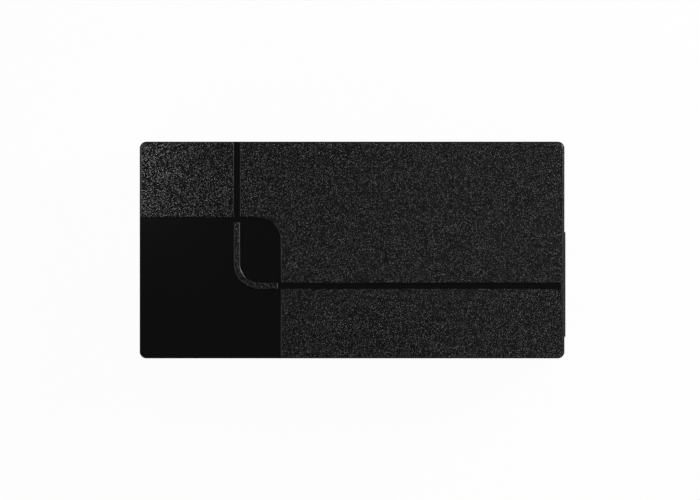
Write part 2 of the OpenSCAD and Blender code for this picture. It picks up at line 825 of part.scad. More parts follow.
module output_choke_core() {
    color("#cfae2e") translate([output_choke_at[0], output_choke_at[1], output_choke_z]) difference() {
        cylinder(r = output_choke_r - output_choke_wire, h = output_choke_t);
        translate([0, 0, -past])
            cylinder(r = output_choke_bore + output_choke_wire, h = output_choke_t + 2 * past);
    }
}

module output_choke_winding() {
    turns = 12;
    side = 0.7;                            // thickness of a turn beside the core
    size = [output_choke_r - output_choke_bore, output_choke_wire, output_choke_t + 2];
    color("#b4632f") translate([output_choke_at[0], output_choke_at[1], deck_z])
        for (i = [0:turns - 1]) rotate([0, 0, i * 360 / turns])
            translate([output_choke_bore, -size[1] / 2, 0]) difference() {
                cube(size);
                translate([side, -past, 1 - snug])
                    cube([size[0] - 2 * side, size[1] + 2 * past, output_choke_t + 2 * snug]);
            }
}

module port_transformers() {
    color("#19191b") for (s = [-1, 1])
        chip(port_transformers_at + [0, s * 8], [8.6, 15, 6], 12, 1.2, 0.5);
}

// ------------------------------------------------------------------ sockets
port_at = [for (s = [-1, 1]) s * port_pitch / 2];

module port_cut() {
    latch = [6.4, 1.6];
    latch_tip = [3.4, 1.4];
    translate([-port_d, -port_w / 2, port_z]) cube([port_d + past, port_w, port_h]);
    translate([-port_d, -latch[0] / 2, port_z - latch[1]])
        cube([port_d + past, latch[0], latch[1] + past]);
    translate([-port_d, -latch_tip[0] / 2, port_z - latch[1] - latch_tip[1]])
        cube([port_d + past, latch_tip[0], latch_tip[1] + past]);
    translate([-jack_d - past, -comb_w / 2, comb_z + comb_h / 2])
        cube([jack_d + past - comb_in, comb_w, comb_h / 2]);
    translate([-port_d, -comb_w / 2, comb_z - past])
        cube([port_d - comb_in, comb_w, comb_h + past]);
}

module jack_housing() {
    window = 1;
    color("#141415") translate(jack_at) difference() {
        translate([-jack_d, -jack_w / 2, 0]) cube([jack_d, jack_w, jack_h]);
        for (y = port_at) translate([0, y, 0]) {
            port_cut();
            translate([-jack_d - past, -comb_w / 2, -past])
                cube([past + window, comb_w, jack_h - 0.7 + past]);
        }
    }
}

// The fixed part of the contacts: along the comb recess and down to the board
module terminals(y) {
    top = comb_z + comb_h - 0.1;
    back = -jack_d + terminal_out;
    color("#cda349") translate(jack_at) translate([0, y, 0]) for (i = [0:7])
        translate([0, (i - 3.5) * contact_pitch, 0]) across_y(contact_w)
            polygon([[bend[0] + 0.3, top], [back, top], [back, 0], [back + contact_t, 0],
                     [back + contact_t, top - contact_t], [bend[0] + 0.3, top - contact_t]]);
}

// The springing part of the contacts, which a plug lifts towards the comb
module springs(y) {
    t = contact_t / 2;
    flat = 1;
    reach = [-cos(spring_slope), -sin(spring_slope)] * spring_l;
    side = [sin(spring_slope), -cos(spring_slope)] * t;
    color("#d9b054") translate(jack_at) translate([0, y, 0]) for (i = [0:7])
        translate([bend[0], (i - 3.5) * contact_pitch, bend[1]]) across_y(contact_w) {
            polygon([-side, side, reach + side, reach + [-flat, -t], reach + [-flat, t], reach - side]);
            circle(bend_r);
        }
}

module data_terminals() { terminals(port_at[1]); }
module power_terminals() { terminals(port_at[0]); }
module data_springs() { springs(port_at[1]); }
module power_springs() { springs(port_at[0]); }

// --------------------------------------------------------------- indicators
module status_leds() {
    color("#e9ecec") at_each(led_at) translate([-led_size[0], -led_size[1] / 2, deck_z]) cube(led_size);
}

module light_pipes() {
    color("#e4f0ea", 0.6) for (p = led_at) translate([p[0] + snug, p[1], pipe_z]) rotate([0, 90, 0]) {
        cylinder(r = pipe_r, h = socket_end - p[0] - snug);
        translate([0, 0, socket_end - wall - snug - p[0] - snug - pipe_flange])
            cylinder(r = pipe_r + 0.35, h = pipe_flange);
    }
}

top_shell();
bottom_shell();
rubber_feet();
case_screws();
rating_label();
insulation_sheet();
circuit_board();
board_screws();
inlet_body();
inlet_blades();
fuse_tube();
fuse_caps();
fuse_clips();
varistor();
line_capacitor();
line_choke_base();
line_choke_core();
line_choke_windings();
bridge_rectifier();
bulk_capacitor();
primary_heatsink();
switching_transistor();
secondary_heatsink();
output_rectifier();
insulating_pads();
heatsink_screws();
transformer_core();
transformer_bobbin();
transformer_winding();
safety_capacitor();
optocoupler();
supply_controller();
output_capacitors();
output_choke_core();
output_choke_winding();
port_transformers();
port_controller();
jack_housing();
data_terminals();
power_terminals();
data_springs();
power_springs();
status_leds();
light_pipes();
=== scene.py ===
import json
import math
import bpy
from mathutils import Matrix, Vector


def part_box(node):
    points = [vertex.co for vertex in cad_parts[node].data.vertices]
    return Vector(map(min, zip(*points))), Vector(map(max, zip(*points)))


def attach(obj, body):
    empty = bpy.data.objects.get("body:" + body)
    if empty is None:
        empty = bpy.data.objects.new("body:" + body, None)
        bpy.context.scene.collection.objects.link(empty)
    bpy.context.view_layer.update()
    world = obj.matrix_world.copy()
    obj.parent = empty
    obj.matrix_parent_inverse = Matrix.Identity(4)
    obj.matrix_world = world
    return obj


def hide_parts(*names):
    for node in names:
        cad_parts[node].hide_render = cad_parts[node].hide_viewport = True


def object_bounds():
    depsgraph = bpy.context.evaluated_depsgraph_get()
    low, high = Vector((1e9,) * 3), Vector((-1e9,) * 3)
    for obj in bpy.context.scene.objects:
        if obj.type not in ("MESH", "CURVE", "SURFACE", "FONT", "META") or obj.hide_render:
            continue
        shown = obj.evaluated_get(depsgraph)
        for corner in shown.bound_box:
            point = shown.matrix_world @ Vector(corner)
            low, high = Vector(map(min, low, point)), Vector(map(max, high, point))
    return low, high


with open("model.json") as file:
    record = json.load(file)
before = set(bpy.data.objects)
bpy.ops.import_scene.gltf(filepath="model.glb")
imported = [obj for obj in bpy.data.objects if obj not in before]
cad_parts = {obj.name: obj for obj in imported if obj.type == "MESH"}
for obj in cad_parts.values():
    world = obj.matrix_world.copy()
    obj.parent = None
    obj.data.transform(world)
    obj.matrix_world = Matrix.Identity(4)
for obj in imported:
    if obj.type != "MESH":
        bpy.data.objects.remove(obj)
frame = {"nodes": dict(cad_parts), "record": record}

mm = 0.001
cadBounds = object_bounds()
floorZ = cadBounds[0].z
topLow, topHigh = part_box("top_shell")
record = frame["record"]
bodyOf = {node: body for body, nodes in record["behaviour"]["bodies"].items() for node in nodes}
slotOf = {part["node"]: part["material_slot"] for part in record["subparts"]}


def hexColour(code):
    channels = [int(code[i:i + 2], 16) / 255 for i in (1, 3, 5)]
    linear = [c / 12.92 if c <= 0.04045 else ((c + 0.055) / 1.055) ** 2.4 for c in channels]
    return (*linear, 1.0)


def addNode(tree, kind, settings=None, links=None, **options):
    node = tree.nodes.new(kind)
    for name, value in options.items():
        setattr(node, name, value)
    for name, value in (settings or {}).items():
        node.inputs[name].default_value = value
    for name, socket in (links or {}).items():
        tree.links.new(socket, node.inputs[name])
    return node


def only(*objects):
    bpy.ops.object.select_all(action="DESELECT")
    for obj in objects:
        obj.select_set(True)
    bpy.context.view_layer.objects.active = objects[0]


# The camera looks straight down through a long lens, a little to one side of the middle

camera = {"lens": 350.0, "sensor": 36.0, "across": 207.25 * mm, "aside": -0.62 * mm}


def placeCamera():
    holder = bpy.data.objects.new("camera", bpy.data.cameras.new("camera"))
    bpy.context.scene.collection.objects.link(holder)
    holder.data.lens = camera["lens"]
    holder.data.sensor_width = camera["sensor"]
    holder.data.clip_end = 20
    away = camera["across"] * camera["lens"] / camera["sensor"]
    holder.location = (camera["aside"], 0, topHigh.z + away)
    bpy.context.scene.camera = holder


# The floor is white and keeps a faint shadow near the case; far out it is plain white

floor = {"size": 8.0, "colour": "#f2f2f2", "glow": 0.965, "near": 0.16, "far": 0.55}


def layFloor():
    bpy.ops.object.select_all(action="DESELECT")
    bpy.ops.mesh.primitive_plane_add(size=floor["size"], location=(0, 0, floorZ))
    plane = bpy.context.object
    plane.name = "studioFloor"
    material = bpy.data.materials.new("paleStudioFloor")
    material.use_nodes = True
    tree = material.node_tree
    shader = tree.nodes["Principled BSDF"]
    shader.inputs["Base Color"].default_value = hexColour(floor["colour"])
    shader.inputs["Roughness"].default_value = 0.9
    shader.inputs["Specular IOR Level"].default_value = 0.1
    white = addNode(tree, "ShaderNodeEmission", {"Color": (1, 1, 1, 1), "Strength": 1.0})
    place = addNode(tree, "ShaderNodeTexCoord")
    away = addNode(tree, "ShaderNodeVectorMath", None, {0: place.outputs["Object"]}, operation="LENGTH")
    glow = addNode(tree, "ShaderNodeMapRange",
                   {"From Min": floor["near"], "From Max": floor["far"],
                    "To Min": floor["glow"], "To Max": 1.0},
                   {"Value": away.outputs["Value"]}, interpolation_type="SMOOTHSTEP")
    rays = addNode(tree, "ShaderNodeLightPath")
    seen = addNode(tree, "ShaderNodeMath", None,
                   {0: rays.outputs["Is Camera Ray"], 1: rays.outputs["Is Glossy Ray"]}, operation="ADD")
    seen = addNode(tree, "ShaderNodeMath", None,
                   {0: seen.outputs[0], 1: rays.outputs["Is Transmission Ray"]},
                   operation="ADD", use_clamp=True)
    share = addNode(tree, "ShaderNodeMath", None,
                    {0: seen.outputs[0], 1: glow.outputs["Result"]}, operation="MULTIPLY")
    blend = addNode(tree, "ShaderNodeMixShader", None,
                    {"Fac": share.outputs[0], 1: shader.outputs["BSDF"], 2: white.outputs["Emission"]})
    tree.links.new(blend.outputs["Shader"], tree.nodes["Material Output"].inputs["Surface"])
    plane.data.materials.append(material)


# One small softbox hangs over the left end and lights only the grain there; a large one stands to the right

softboxes = {
    "left": {"at": (-0.067, 0.023, 0.053), "towards": (-0.055, 0.023, 0.038), "size": (0.030, 0.008),
             "power": 0.0062, "mirrored": False},
    "right": {"at": (0.38, 0.20, 0.26), "towards": (0.0, 0.0, 0.038), "size": (0.14, 0.50),
              "power": 2.0, "mirrored": True},
}


def hangSoftboxes():
    for side, box in softboxes.items():
        lamp = bpy.data.lights.new(side + "Softbox", "AREA")
        lamp.shape = "RECTANGLE"
        lamp.size, lamp.size_y = box["size"]
        lamp.energy = box["power"]
        holder = bpy.data.objects.new(side + "Softbox", lamp)
        holder.location = box["at"]
        aim = Vector(box["towards"]) - Vector(box["at"])
        holder.rotation_euler = aim.to_track_quat("-Z", "Y").to_euler()
        holder.visible_camera = False
        holder.visible_glossy = box["mirrored"]
        bpy.context.scene.collection.objects.link(holder)


# What the case mirrors is bright just above the horizon at both ends and dark overhead. Seen directly,
# the studio is white

studio = {"overhead": 0.07, "ends": 1.0, "sides": 0.32, "horizon": 0.35, "fill": 0.38, "dusk": 0.05,
          "low": 0.16, "high": 0.85, "offEnd": 0.4, "onEnd": 0.9}


def buildStudio():
    world = bpy.data.worlds.new("studio")
    bpy.context.scene.world = world
    world.use_nodes = True
    tree = world.node_tree
    place = addNode(tree, "ShaderNodeTexCoord")
    axes = addNode(tree, "ShaderNodeSeparateXYZ", None, {"Vector": place.outputs["Generated"]})
    across = addNode(tree, "ShaderNodeMath", None, {0: axes.outputs["X"]}, operation="ABSOLUTE")
    level = addNode(tree, "ShaderNodeMapRange",
                    {"From Min": studio["offEnd"], "From Max": studio["onEnd"],
                     "To Min": studio["sides"], "To Max": studio["ends"]},
                    {"Value": across.outputs[0]}, interpolation_type="SMOOTHSTEP")
    rise = addNode(tree, "ShaderNodeMapRange",
                   {"From Min": studio["dusk"], "From Max": studio["low"],
                    "To Min": studio["horizon"], "To Max": 1.0},
                   {"Value": axes.outputs["Z"]}, interpolation_type="SMOOTHSTEP")
    level = addNode(tree, "ShaderNodeMath", None, {0: level.outputs["Result"], 1: rise.outputs["Result"]},
                    operation="MULTIPLY")
    shade = addNode(tree, "ShaderNodeMapRange",
                    {"From Min": studio["low"], "From Max": studio["high"], "To Max": studio["overhead"]},
                    {"Value": axes.outputs["Z"], "To Min": level.outputs[0]},
                    interpolation_type="SMOOTHSTEP")
    rays = addNode(tree, "ShaderNodeLightPath")
    mirrored = addNode(tree, "ShaderNodeMix", {"A": studio["fill"]},
                       {"Factor": rays.outputs["Is Glossy Ray"], "B": shade.outputs["Result"]},
                       data_type="FLOAT")
    seen = addNode(tree, "ShaderNodeMath", None,
                   {0: rays.outputs["Is Camera Ray"], 1: rays.outputs["Is Transmission Ray"]},
                   operation="ADD", use_clamp=True)
    strength = addNode(tree, "ShaderNodeMix", {"B": 1.0},
                       {"Factor": seen.outputs[0], "A": mirrored.outputs["Result"]}, data_type="FLOAT")
    back = tree.nodes["Background"]
    back.inputs["Color"].default_value = (1, 1, 1, 1)
    tree.links.new(strength.outputs["Result"], back.inputs["Strength"])


placeCamera()
layFloor()
hangSoftboxes()
buildStudio()
bpy.context.scene.view_settings.view_transform = "Standard"
print("camera, floor and light are in place")


def newMaterial(name, colour, roughness, metallic=0.0, **more):
    material = bpy.data.materials.new(name)
    material.use_nodes = True
    tree = material.node_tree
    shader = tree.nodes["Principled BSDF"]
    shader.inputs["Base Color"].default_value = hexColour(colour)
    shader.inputs["Roughness"].default_value = roughness
    shader.inputs["Metallic"].default_value = metallic
    for socket, value in more.items():
        shader.inputs[socket.replace("_", " ")].default_value = value
    coords = addNode(tree, "ShaderNodeTexCoord").outputs["Object"]
    return material, tree, shader, coords


# ABS from a spark-eroded mould: dull black, with grains of a fifth of a millimetre; its base colour has
# painted shade in the pits between grains and painted glints on the grain crowns

eroded = {"grain": 0.20 * mm, "depth": 0.10 * mm, "rough": 0.38, "shine": 0.18, "skirt": 0.95,
          "rimDepth": 0.03 * mm, "edgeDepth": 0.02 * mm,
          "shadeAndGlintTones": [(0.0, "#010101"), (0.22, "#040405"), (0.5, "#1d1d1e"), (0.9, "#aeaeb0")]}


def makeErodedAbs():
    material, tree, shader, coords = newMaterial("sparkErodedAbsWithPaintedGlints", eroded["shadeAndGlintTones"][1][1], eroded["rough"],
                                                 Specular_IOR_Level=eroded["shine"])
    grain = addNode(tree, "ShaderNodeTexVoronoi", {"Scale": 1 / eroded["grain"]},
                    {"Vector": coords}, feature="F1")
    facet = addNode(tree, "ShaderNodeSeparateColor", None, {"Color": grain.outputs["Color"]})
    crown = addNode(tree, "ShaderNodeMapRange", {"From Max": eroded["skirt"], "To Min": 1.0, "To Max": 0.0},
                    {"Value": grain.outputs["Distance"]}, interpolation_type="SMOOTHSTEP")
    shadeToGlint = addNode(tree, "ShaderNodeMath", None, {0: facet.outputs["Red"], 1: crown.outputs["Result"]},
                  operation="MULTIPLY")
    # The colour ramp paints shade at the edges of each grain and glints on the brightest crowns
    tone = addNode(tree, "ShaderNodeValToRGB", None, {"Fac": shadeToGlint.outputs[0]})
    stops = tone.color_ramp.elements
    while len(stops) < len(eroded["shadeAndGlintTones"]):
        stops.new(0.5)
    for stop, (position, colour) in zip(stops, eroded["shadeAndGlintTones"]):
        stop.position = position
        stop.color = hexColour(colour)
    bump = addNode(tree, "ShaderNodeBump", {"Strength": 1.0, "Distance": eroded["depth"]},
                   {"Height": grain.outputs["Distance"]})
    tree.links.new(tone.outputs["Color"], shader.inputs["Base Color"])
    tree.links.new(bump.outputs["Normal"], shader.inputs["Normal"])
    return material


# The rims of the grooves and the rib that face the ends: smooth ABS painted lighter than the grain, a
# painted highlight, so that they show as fine light lines; the rims that face the sides keep the grain
def makeRimHighlightAbs():
    material, tree, shader, coords = newMaterial("paintedRimHighlightAbs", "#252526", 0.28, Specular_IOR_Level=1.0)
    grain = addNode(tree, "ShaderNodeTexNoise", {"Scale": 1 / eroded["grain"], "Detail": 1.0},
                    {"Vector": coords})
    bump = addNode(tree, "ShaderNodeBump", {"Strength": 1.0, "Distance": eroded["rimDepth"]},
                   {"Height": grain.outputs["Fac"]})
    tree.links.new(bump.outputs["Normal"], shader.inputs["Normal"])
    return material


# The steep part of the rounded edge round the top: dull ABS painted darker than the grain beside it, a
# painted shade line round the outline
def makeEdgeShadeAbs():
    material, tree, shader, coords = newMaterial("paintedEdgeShadeAbs", "#040404", 0.5, Specular_IOR_Level=0.12)
    grain = addNode(tree, "ShaderNodeTexNoise", {"Scale": 1 / eroded["grain"], "Detail": 2.0},
                    {"Vector": coords})
    bump = addNode(tree, "ShaderNodeBump", {"Strength": 1.0, "Distance": eroded["edgeDepth"]},
                   {"Height": grain.outputs["Fac"]})
    tree.links.new(bump.outputs["Normal"], shader.inputs["Normal"])
    return material


# ABS from a polished mould: the same black, smooth enough to mirror the dark studio overhead

polished = {"colour": "#080809", "rough": 0.09, "ripple": 7 * mm, "depth": 0.004 * mm}


def makePolishedAbs():
    material, tree, shader, coords = newMaterial("polishedAbs", polished["colour"], polished["rough"])
    ripple = addNode(tree, "ShaderNodeTexNoise", {"Scale": 1 / polished["ripple"], "Detail": 1.0},
                     {"Vector": coords})
    bump = addNode(tree, "ShaderNodeBump", {"Strength": 1.0, "Distance": polished["depth"]},
                   {"Height": ripple.outputs["Fac"]})
    tree.links.new(bump.outputs["Normal"], shader.inputs["Normal"])
    return material


# The inner faces of the case: ABS as the cutter left the mould, even and half dull

cutterFace = {"colour": "#131314", "rough": 0.42, "grain": 0.25 * mm, "depth": 0.01 * mm}


def makeInnerAbs():
    material, tree, shader, coords = newMaterial("machinedMouldAbs", cutterFace["colour"],
                                                 cutterFace["rough"])
    grain = addNode(tree, "ShaderNodeTexNoise", {"Scale": 1 / cutterFace["grain"], "Detail": 2.0},
                    {"Vector": coords})
    bump = addNode(tree, "ShaderNodeBump", {"Strength": 1.0, "Distance": cutterFace["depth"]},
                   {"Height": grain.outputs["Fac"]})
    tree.links.new(bump.outputs["Normal"], shader.inputs["Normal"])
    return material


# Nitrile rubber pressed in a mould: nearly black and dead matt, with a bloom of pale dust in its skin

rubber = {"colour": "#1b1b1b", "dusty": "#262625", "cloud": 2.5 * mm, "skin": 0.12 * mm, "depth": 0.02 * mm}


def makeMouldedRubber():
    material, tree, shader, coords = newMaterial("mouldedNitrileRubber", rubber["colour"], 0.82,
                                                 Specular_IOR_Level=0.3)
    cloud = addNode(tree, "ShaderNodeTexNoise", {"Scale": 1 / rubber["cloud"], "Detail": 4.0},
                    {"Vector": coords})
    tone = addNode(tree, "ShaderNodeMix", {6: hexColour(rubber["colour"]), 7: hexColour(rubber["dusty"])},
                   {"Factor": cloud.outputs["Fac"]}, data_type="RGBA")
    skin = addNode(tree, "ShaderNodeTexNoise", {"Scale": 1 / rubber["skin"], "Detail": 2.0},
                   {"Vector": coords})
    bump = addNode(tree, "ShaderNodeBump", {"Distance": rubber["depth"]}, {"Height": skin.outputs["Fac"]})
    tree.links.new(tone.outputs[2], shader.inputs["Base Color"])
    tree.links.new(bump.outputs["Normal"], shader.inputs["Normal"])
    return material


# Zinc-plated steel, cold headed: bluish grey metal, bright but clouded by fine handling marks

zinc = {"colour": "#b3b8bd", "bright": 0.22, "cloudy": 0.42, "marks": 0.35 * mm, "depth": 0.004 * mm}


def makeZincSteel():
    material, tree, shader, coords = newMaterial("zincPlatedSteel", zinc["colour"], zinc["bright"], 1.0)
    marks = addNode(tree, "ShaderNodeTexNoise",
                    {"Scale": 1 / zinc["marks"], "Detail": 5.0, "Roughness": 0.7},
                    {"Vector": coords})
    rough = addNode(tree, "ShaderNodeMapRange",
                    {"From Min": 0.35, "From Max": 0.65, "To Min": zinc["bright"], "To Max": zinc["cloudy"]},
                    {"Value": marks.outputs["Fac"]})
    bump = addNode(tree, "ShaderNodeBump", {"Distance": zinc["depth"]}, {"Height": marks.outputs["Fac"]})
    tree.links.new(rough.outputs["Result"], shader.inputs["Roughness"])
    tree.links.new(bump.outputs["Normal"], shader.inputs["Normal"])
    return material


# Polyester label film with a metallised back, printed plain: even silver grey with a satin top coat

labelFilm = {"colour": "#b9bbbd", "weave": 0.20 * mm, "depth": 0.003 * mm, "rough": 0.42}


def makeLabelFilm():
    material, tree, shader, coords = newMaterial("satinLabelFilm", labelFilm["colour"], labelFilm["rough"],
                                                 0.25)
    grit = addNode(tree, "ShaderNodeTexNoise", {"Scale": 1 / labelFilm["weave"], "Detail": 3.0},
                   {"Vector": coords})
    rough = addNode(tree, "ShaderNodeMapRange",
                    {"To Min": labelFilm["rough"] - 0.08, "To Max": labelFilm["rough"] + 0.08},
                    {"Value": grit.outputs["Fac"]})
    bump = addNode(tree, "ShaderNodeBump", {"Distance": labelFilm["depth"]}, {"Height": grit.outputs["Fac"]})
    tree.links.new(rough.outputs["Result"], shader.inputs["Roughness"])
    tree.links.new(bump.outputs["Normal"], shader.inputs["Normal"])
    return material


# Clear amber polyester sheet, die cut: pale straw, glossy, slightly buckled from the roll

film = {"colour": "#cfc59c", "buckle": 14 * mm, "depth": 0.05 * mm}


def makePolyesterFilm():
    material, tree, shader, coords = newMaterial("polyesterSheet", film["colour"], 0.24,
                                                 Transmission_Weight=0.35)
    buckle = addNode(tree, "ShaderNodeTexNoise", {"Scale": 1 / film["buckle"], "Detail": 1.0},
                     {"Vector": coords})
    bump = addNode(tree, "ShaderNodeBump", {"Distance": film["depth"]}, {"Height": buckle.outputs["Fac"]})
    tree.links.new(bump.outputs["Normal"], shader.inputs["Normal"])
    return material


# Epoxy board under green solder resist: islands of copper show through it as a lighter green

resist = {"bare": "#123c20", "copper": "#206236", "island": 5.0 * mm, "gap": 0.09, "filled": 0.35,
          "depth": 0.035 * mm}


def makeSolderResist():
    material, tree, shader, coords = newMaterial("greenSolderResist", resist["bare"], 0.28, Coat_Weight=0.3)
    nearest = addNode(tree, "ShaderNodeTexVoronoi", {"Scale": 1 / resist["island"]},
                      {"Vector": coords}, voronoi_dimensions="2D", distance="CHEBYCHEV")
    second = addNode(tree, "ShaderNodeTexVoronoi", {"Scale": 1 / resist["island"]},
                     {"Vector": coords}, voronoi_dimensions="2D", distance="CHEBYCHEV",
                     feature="F2")
    border = addNode(tree, "ShaderNodeMath", None,
                     {0: second.outputs["Distance"], 1: nearest.outputs["Distance"]}, operation="SUBTRACT")
    inside = addNode(tree, "ShaderNodeMapRange",
                     {"From Min": resist["gap"] * 0.8, "From Max": resist["gap"]},
                     {"Value": border.outputs[0]})
    chance = addNode(tree, "ShaderNodeSeparateColor", None, {"Color": nearest.outputs["Color"]})
    filled = addNode(tree, "ShaderNodeMath", {1: resist["filled"]}, {0: chance.outputs["Red"]},
                     operation="GREATER_THAN")
    copper = addNode(tree, "ShaderNodeMath", None, {0: inside.outputs["Result"], 1: filled.outputs[0]},
                     operation="MULTIPLY")
    tone = addNode(tree, "ShaderNodeMix", {6: hexColour(resist["bare"]), 7: hexColour(resist["copper"])},
                   {"Factor": copper.outputs[0]}, data_type="RGBA")
    bump = addNode(tree, "ShaderNodeBump", {"Distance": resist["depth"]}, {"Height": copper.outputs[0]})
    tree.links.new(tone.outputs[2], shader.inputs["Base Color"])
    tree.links.new(bump.outputs["Normal"], shader.inputs["Normal"])
    return material


# The routed edge of the epoxy board: straw-coloured, with the glass layers showing as fine lines

boardEdge = {"resin": "#a8985c", "glass": "#c9bd8b", "layer": 0.2 * mm}


def makeBoardEdge():
    material, tree, shader, coords = newMaterial("routedGlassEpoxy", boardEdge["resin"], 0.7)
    layers = addNode(tree, "ShaderNodeTexWave", {"Scale": 0.314 / boardEdge["layer"], "Distortion": 0.8},
                     {"Vector": coords}, bands_direction="Z")
    tone = addNode(tree, "ShaderNodeMix",
                   {6: hexColour(boardEdge["resin"]), 7: hexColour(boardEdge["glass"])},
                   {"Factor": layers.outputs["Fac"]}, data_type="RGBA")
    tree.links.new(tone.outputs[2], shader.inputs["Base Color"])
    return material


# Nylon moulded in a lightly textured tool: black, a little glossier than the case, with a soft flow mottle

nylon = {"colour": "#101011", "rough": 0.38, "grain": 0.22 * mm, "depth": 0.012 * mm, "flow": 6 * mm}


def makeMouldedNylon():
    material, tree, shader, coords = newMaterial("mouldedNylon", nylon["colour"], nylon["rough"])
    grain = addNode(tree, "ShaderNodeTexVoronoi", {"Scale": 1 / nylon["grain"]},
                    {"Vector": coords}, feature="SMOOTH_F1")
    flow = addNode(tree, "ShaderNodeTexNoise", {"Scale": 1 / nylon["flow"], "Detail": 2.0},
                   {"Vector": coords})
    rough = addNode(tree, "ShaderNodeMapRange",
                    {"To Min": nylon["rough"] - 0.08, "To Max": nylon["rough"] + 0.08},
                    {"Value": flow.outputs["Fac"]})
    bump = addNode(tree, "ShaderNodeBump", {"Distance": nylon["depth"]},
                   {"Height": grain.outputs["Distance"]})
    tree.links.new(rough.outputs["Result"], shader.inputs["Roughness"])
    tree.links.new(bump.outputs["Normal"], shader.inputs["Normal"])
    return material


# PBT moulded in a polished tool: the sockets are a deeper black, with a faint glass-fibre grain

pbt = {"colour": "#0e0e0f", "rough": 0.27, "fibre": 0.6 * mm, "depth": 0.008 * mm}


def makeMouldedPbt():
    material, tree, shader, coords = newMaterial("glassFilledPbt", pbt["colour"], pbt["rough"])
    along = addNode(tree, "ShaderNodeMapping", {"Scale": (0.25, 1.0, 1.0)}, {"Vector": coords})
    fibre = addNode(tree, "ShaderNodeTexNoise", {"Scale": 1 / pbt["fibre"], "Detail": 4.0},
                    {"Vector": along.outputs["Vector"]})
    rough = addNode(tree, "ShaderNodeMapRange",
                    {"To Min": pbt["rough"] - 0.07, "To Max": pbt["rough"] + 0.10},
                    {"Value": fibre.outputs["Fac"]})
    bump = addNode(tree, "ShaderNodeBump", {"Distance": pbt["depth"]}, {"Height": fibre.outputs["Fac"]})
    tree.links.new(rough.outputs["Result"], shader.inputs["Roughness"])
    tree.links.new(bump.outputs["Normal"], shader.inputs["Normal"])
    return material


# Nickel-plated brass, stamped then barrelled: warm silver with fine scratches along the blades

nickel = {"colour": "#c9c4b8", "rough": 0.24, "scratch": 0.10 * mm, "depth": 0.003 * mm}


def makeNickelBrass():
    material, tree, shader, coords = newMaterial("nickelPlatedBrass", nickel["colour"], nickel["rough"], 1.0)
    along = addNode(tree, "ShaderNodeMapping", {"Scale": (0.05, 1.0, 1.0)}, {"Vector": coords})
    scratch = addNode(tree, "ShaderNodeTexNoise", {"Scale": 1 / nickel["scratch"], "Detail": 3.0},
                      {"Vector": along.outputs["Vector"]})
    rough = addNode(tree, "ShaderNodeMapRange",
                    {"To Min": nickel["rough"] - 0.10, "To Max": nickel["rough"] + 0.14},
                    {"Value": scratch.outputs["Fac"]})
    bump = addNode(tree, "ShaderNodeBump", {"Distance": nickel["depth"]}, {"Height": scratch.outputs["Fac"]})
    tree.links.new(rough.outputs["Result"], shader.inputs["Roughness"])
    tree.links.new(bump.outputs["Normal"], shader.inputs["Normal"])
    return material


# Gold flash over nickel on drawn contact wire: bright yellow, with draw lines along each wire

gold = {"colour": "#e6bd63", "rough": 0.36, "metal": 0.75, "line": 0.06 * mm, "depth": 0.002 * mm}


def makeGoldContact():
    material, tree, shader, coords = newMaterial("goldFlashedBronze", gold["colour"], gold["rough"],
                                                 gold["metal"])
    along = addNode(tree, "ShaderNodeMapping", {"Scale": (0.1, 1.0, 0.3)}, {"Vector": coords})
    line = addNode(tree, "ShaderNodeTexNoise", {"Scale": 1 / gold["line"], "Detail": 2.0},
                   {"Vector": along.outputs["Vector"]})
    rough = addNode(tree, "ShaderNodeMapRange",
                    {"To Min": gold["rough"] - 0.06, "To Max": gold["rough"] + 0.10},
                    {"Value": line.outputs["Fac"]})
    bump = addNode(tree, "ShaderNodeBump", {"Distance": gold["depth"]}, {"Height": line.outputs["Fac"]})
    tree.links.new(rough.outputs["Result"], shader.inputs["Roughness"])
    tree.links.new(bump.outputs["Normal"], shader.inputs["Normal"])
    return material


# Polycarbonate rod, moulded clear: milky from the dark behind it, its end polished

pipe = {"colour": "#e3eee8", "rough": 0.12, "haze": 0.9 * mm, "depth": 0.004 * mm}


def makeClearPipe():
    material, tree, shader, coords = newMaterial("clearPolycarbonate", pipe["colour"], pipe["rough"],
                                                 Transmission_Weight=0.55, IOR=1.58)
    haze = addNode(tree, "ShaderNodeTexNoise", {"Scale": 1 / pipe["haze"], "Detail": 2.0},
                   {"Vector": coords})
    rough = addNode(tree, "ShaderNodeMapRange",
                    {"To Min": pipe["rough"] - 0.06, "To Max": pipe["rough"] + 0.10},
                    {"Value": haze.outputs["Fac"]})
    bump = addNode(tree, "ShaderNodeBump", {"Distance": pipe["depth"]}, {"Height": haze.outputs["Fac"]})
    tree.links.new(rough.outputs["Result"], shader.inputs["Roughness"])
    tree.links.new(bump.outputs["Normal"], shader.inputs["Normal"])
    return material


# Drawn soda glass: clear, with the faint waviness of tube

glass = {"colour": "#eef4f2", "wave": 3 * mm, "depth": 0.01 * mm}


def makeFuseGlass():
    material, tree, shader, coords = newMaterial("drawnSodaGlass", glass["colour"], 0.03,
                                                 Transmission_Weight=1.0, IOR=1.52)
    wave = addNode(tree, "ShaderNodeTexNoise", {"Scale": 1 / glass["wave"], "Detail": 1.0},
                   {"Vector": coords})
    bump = addNode(tree, "ShaderNodeBump", {"Distance": glass["depth"]}, {"Height": wave.outputs["Fac"]})
    tree.links.new(bump.outputs["Normal"], shader.inputs["Normal"])
    return material


# Tinned brass strip, bent cold: yellow metal greyed by the tin in patches

tinnedStrip = {"colour": "#c4b27a", "tin": "#bfc0bc", "patch": 1.8 * mm, "rough": 0.33}


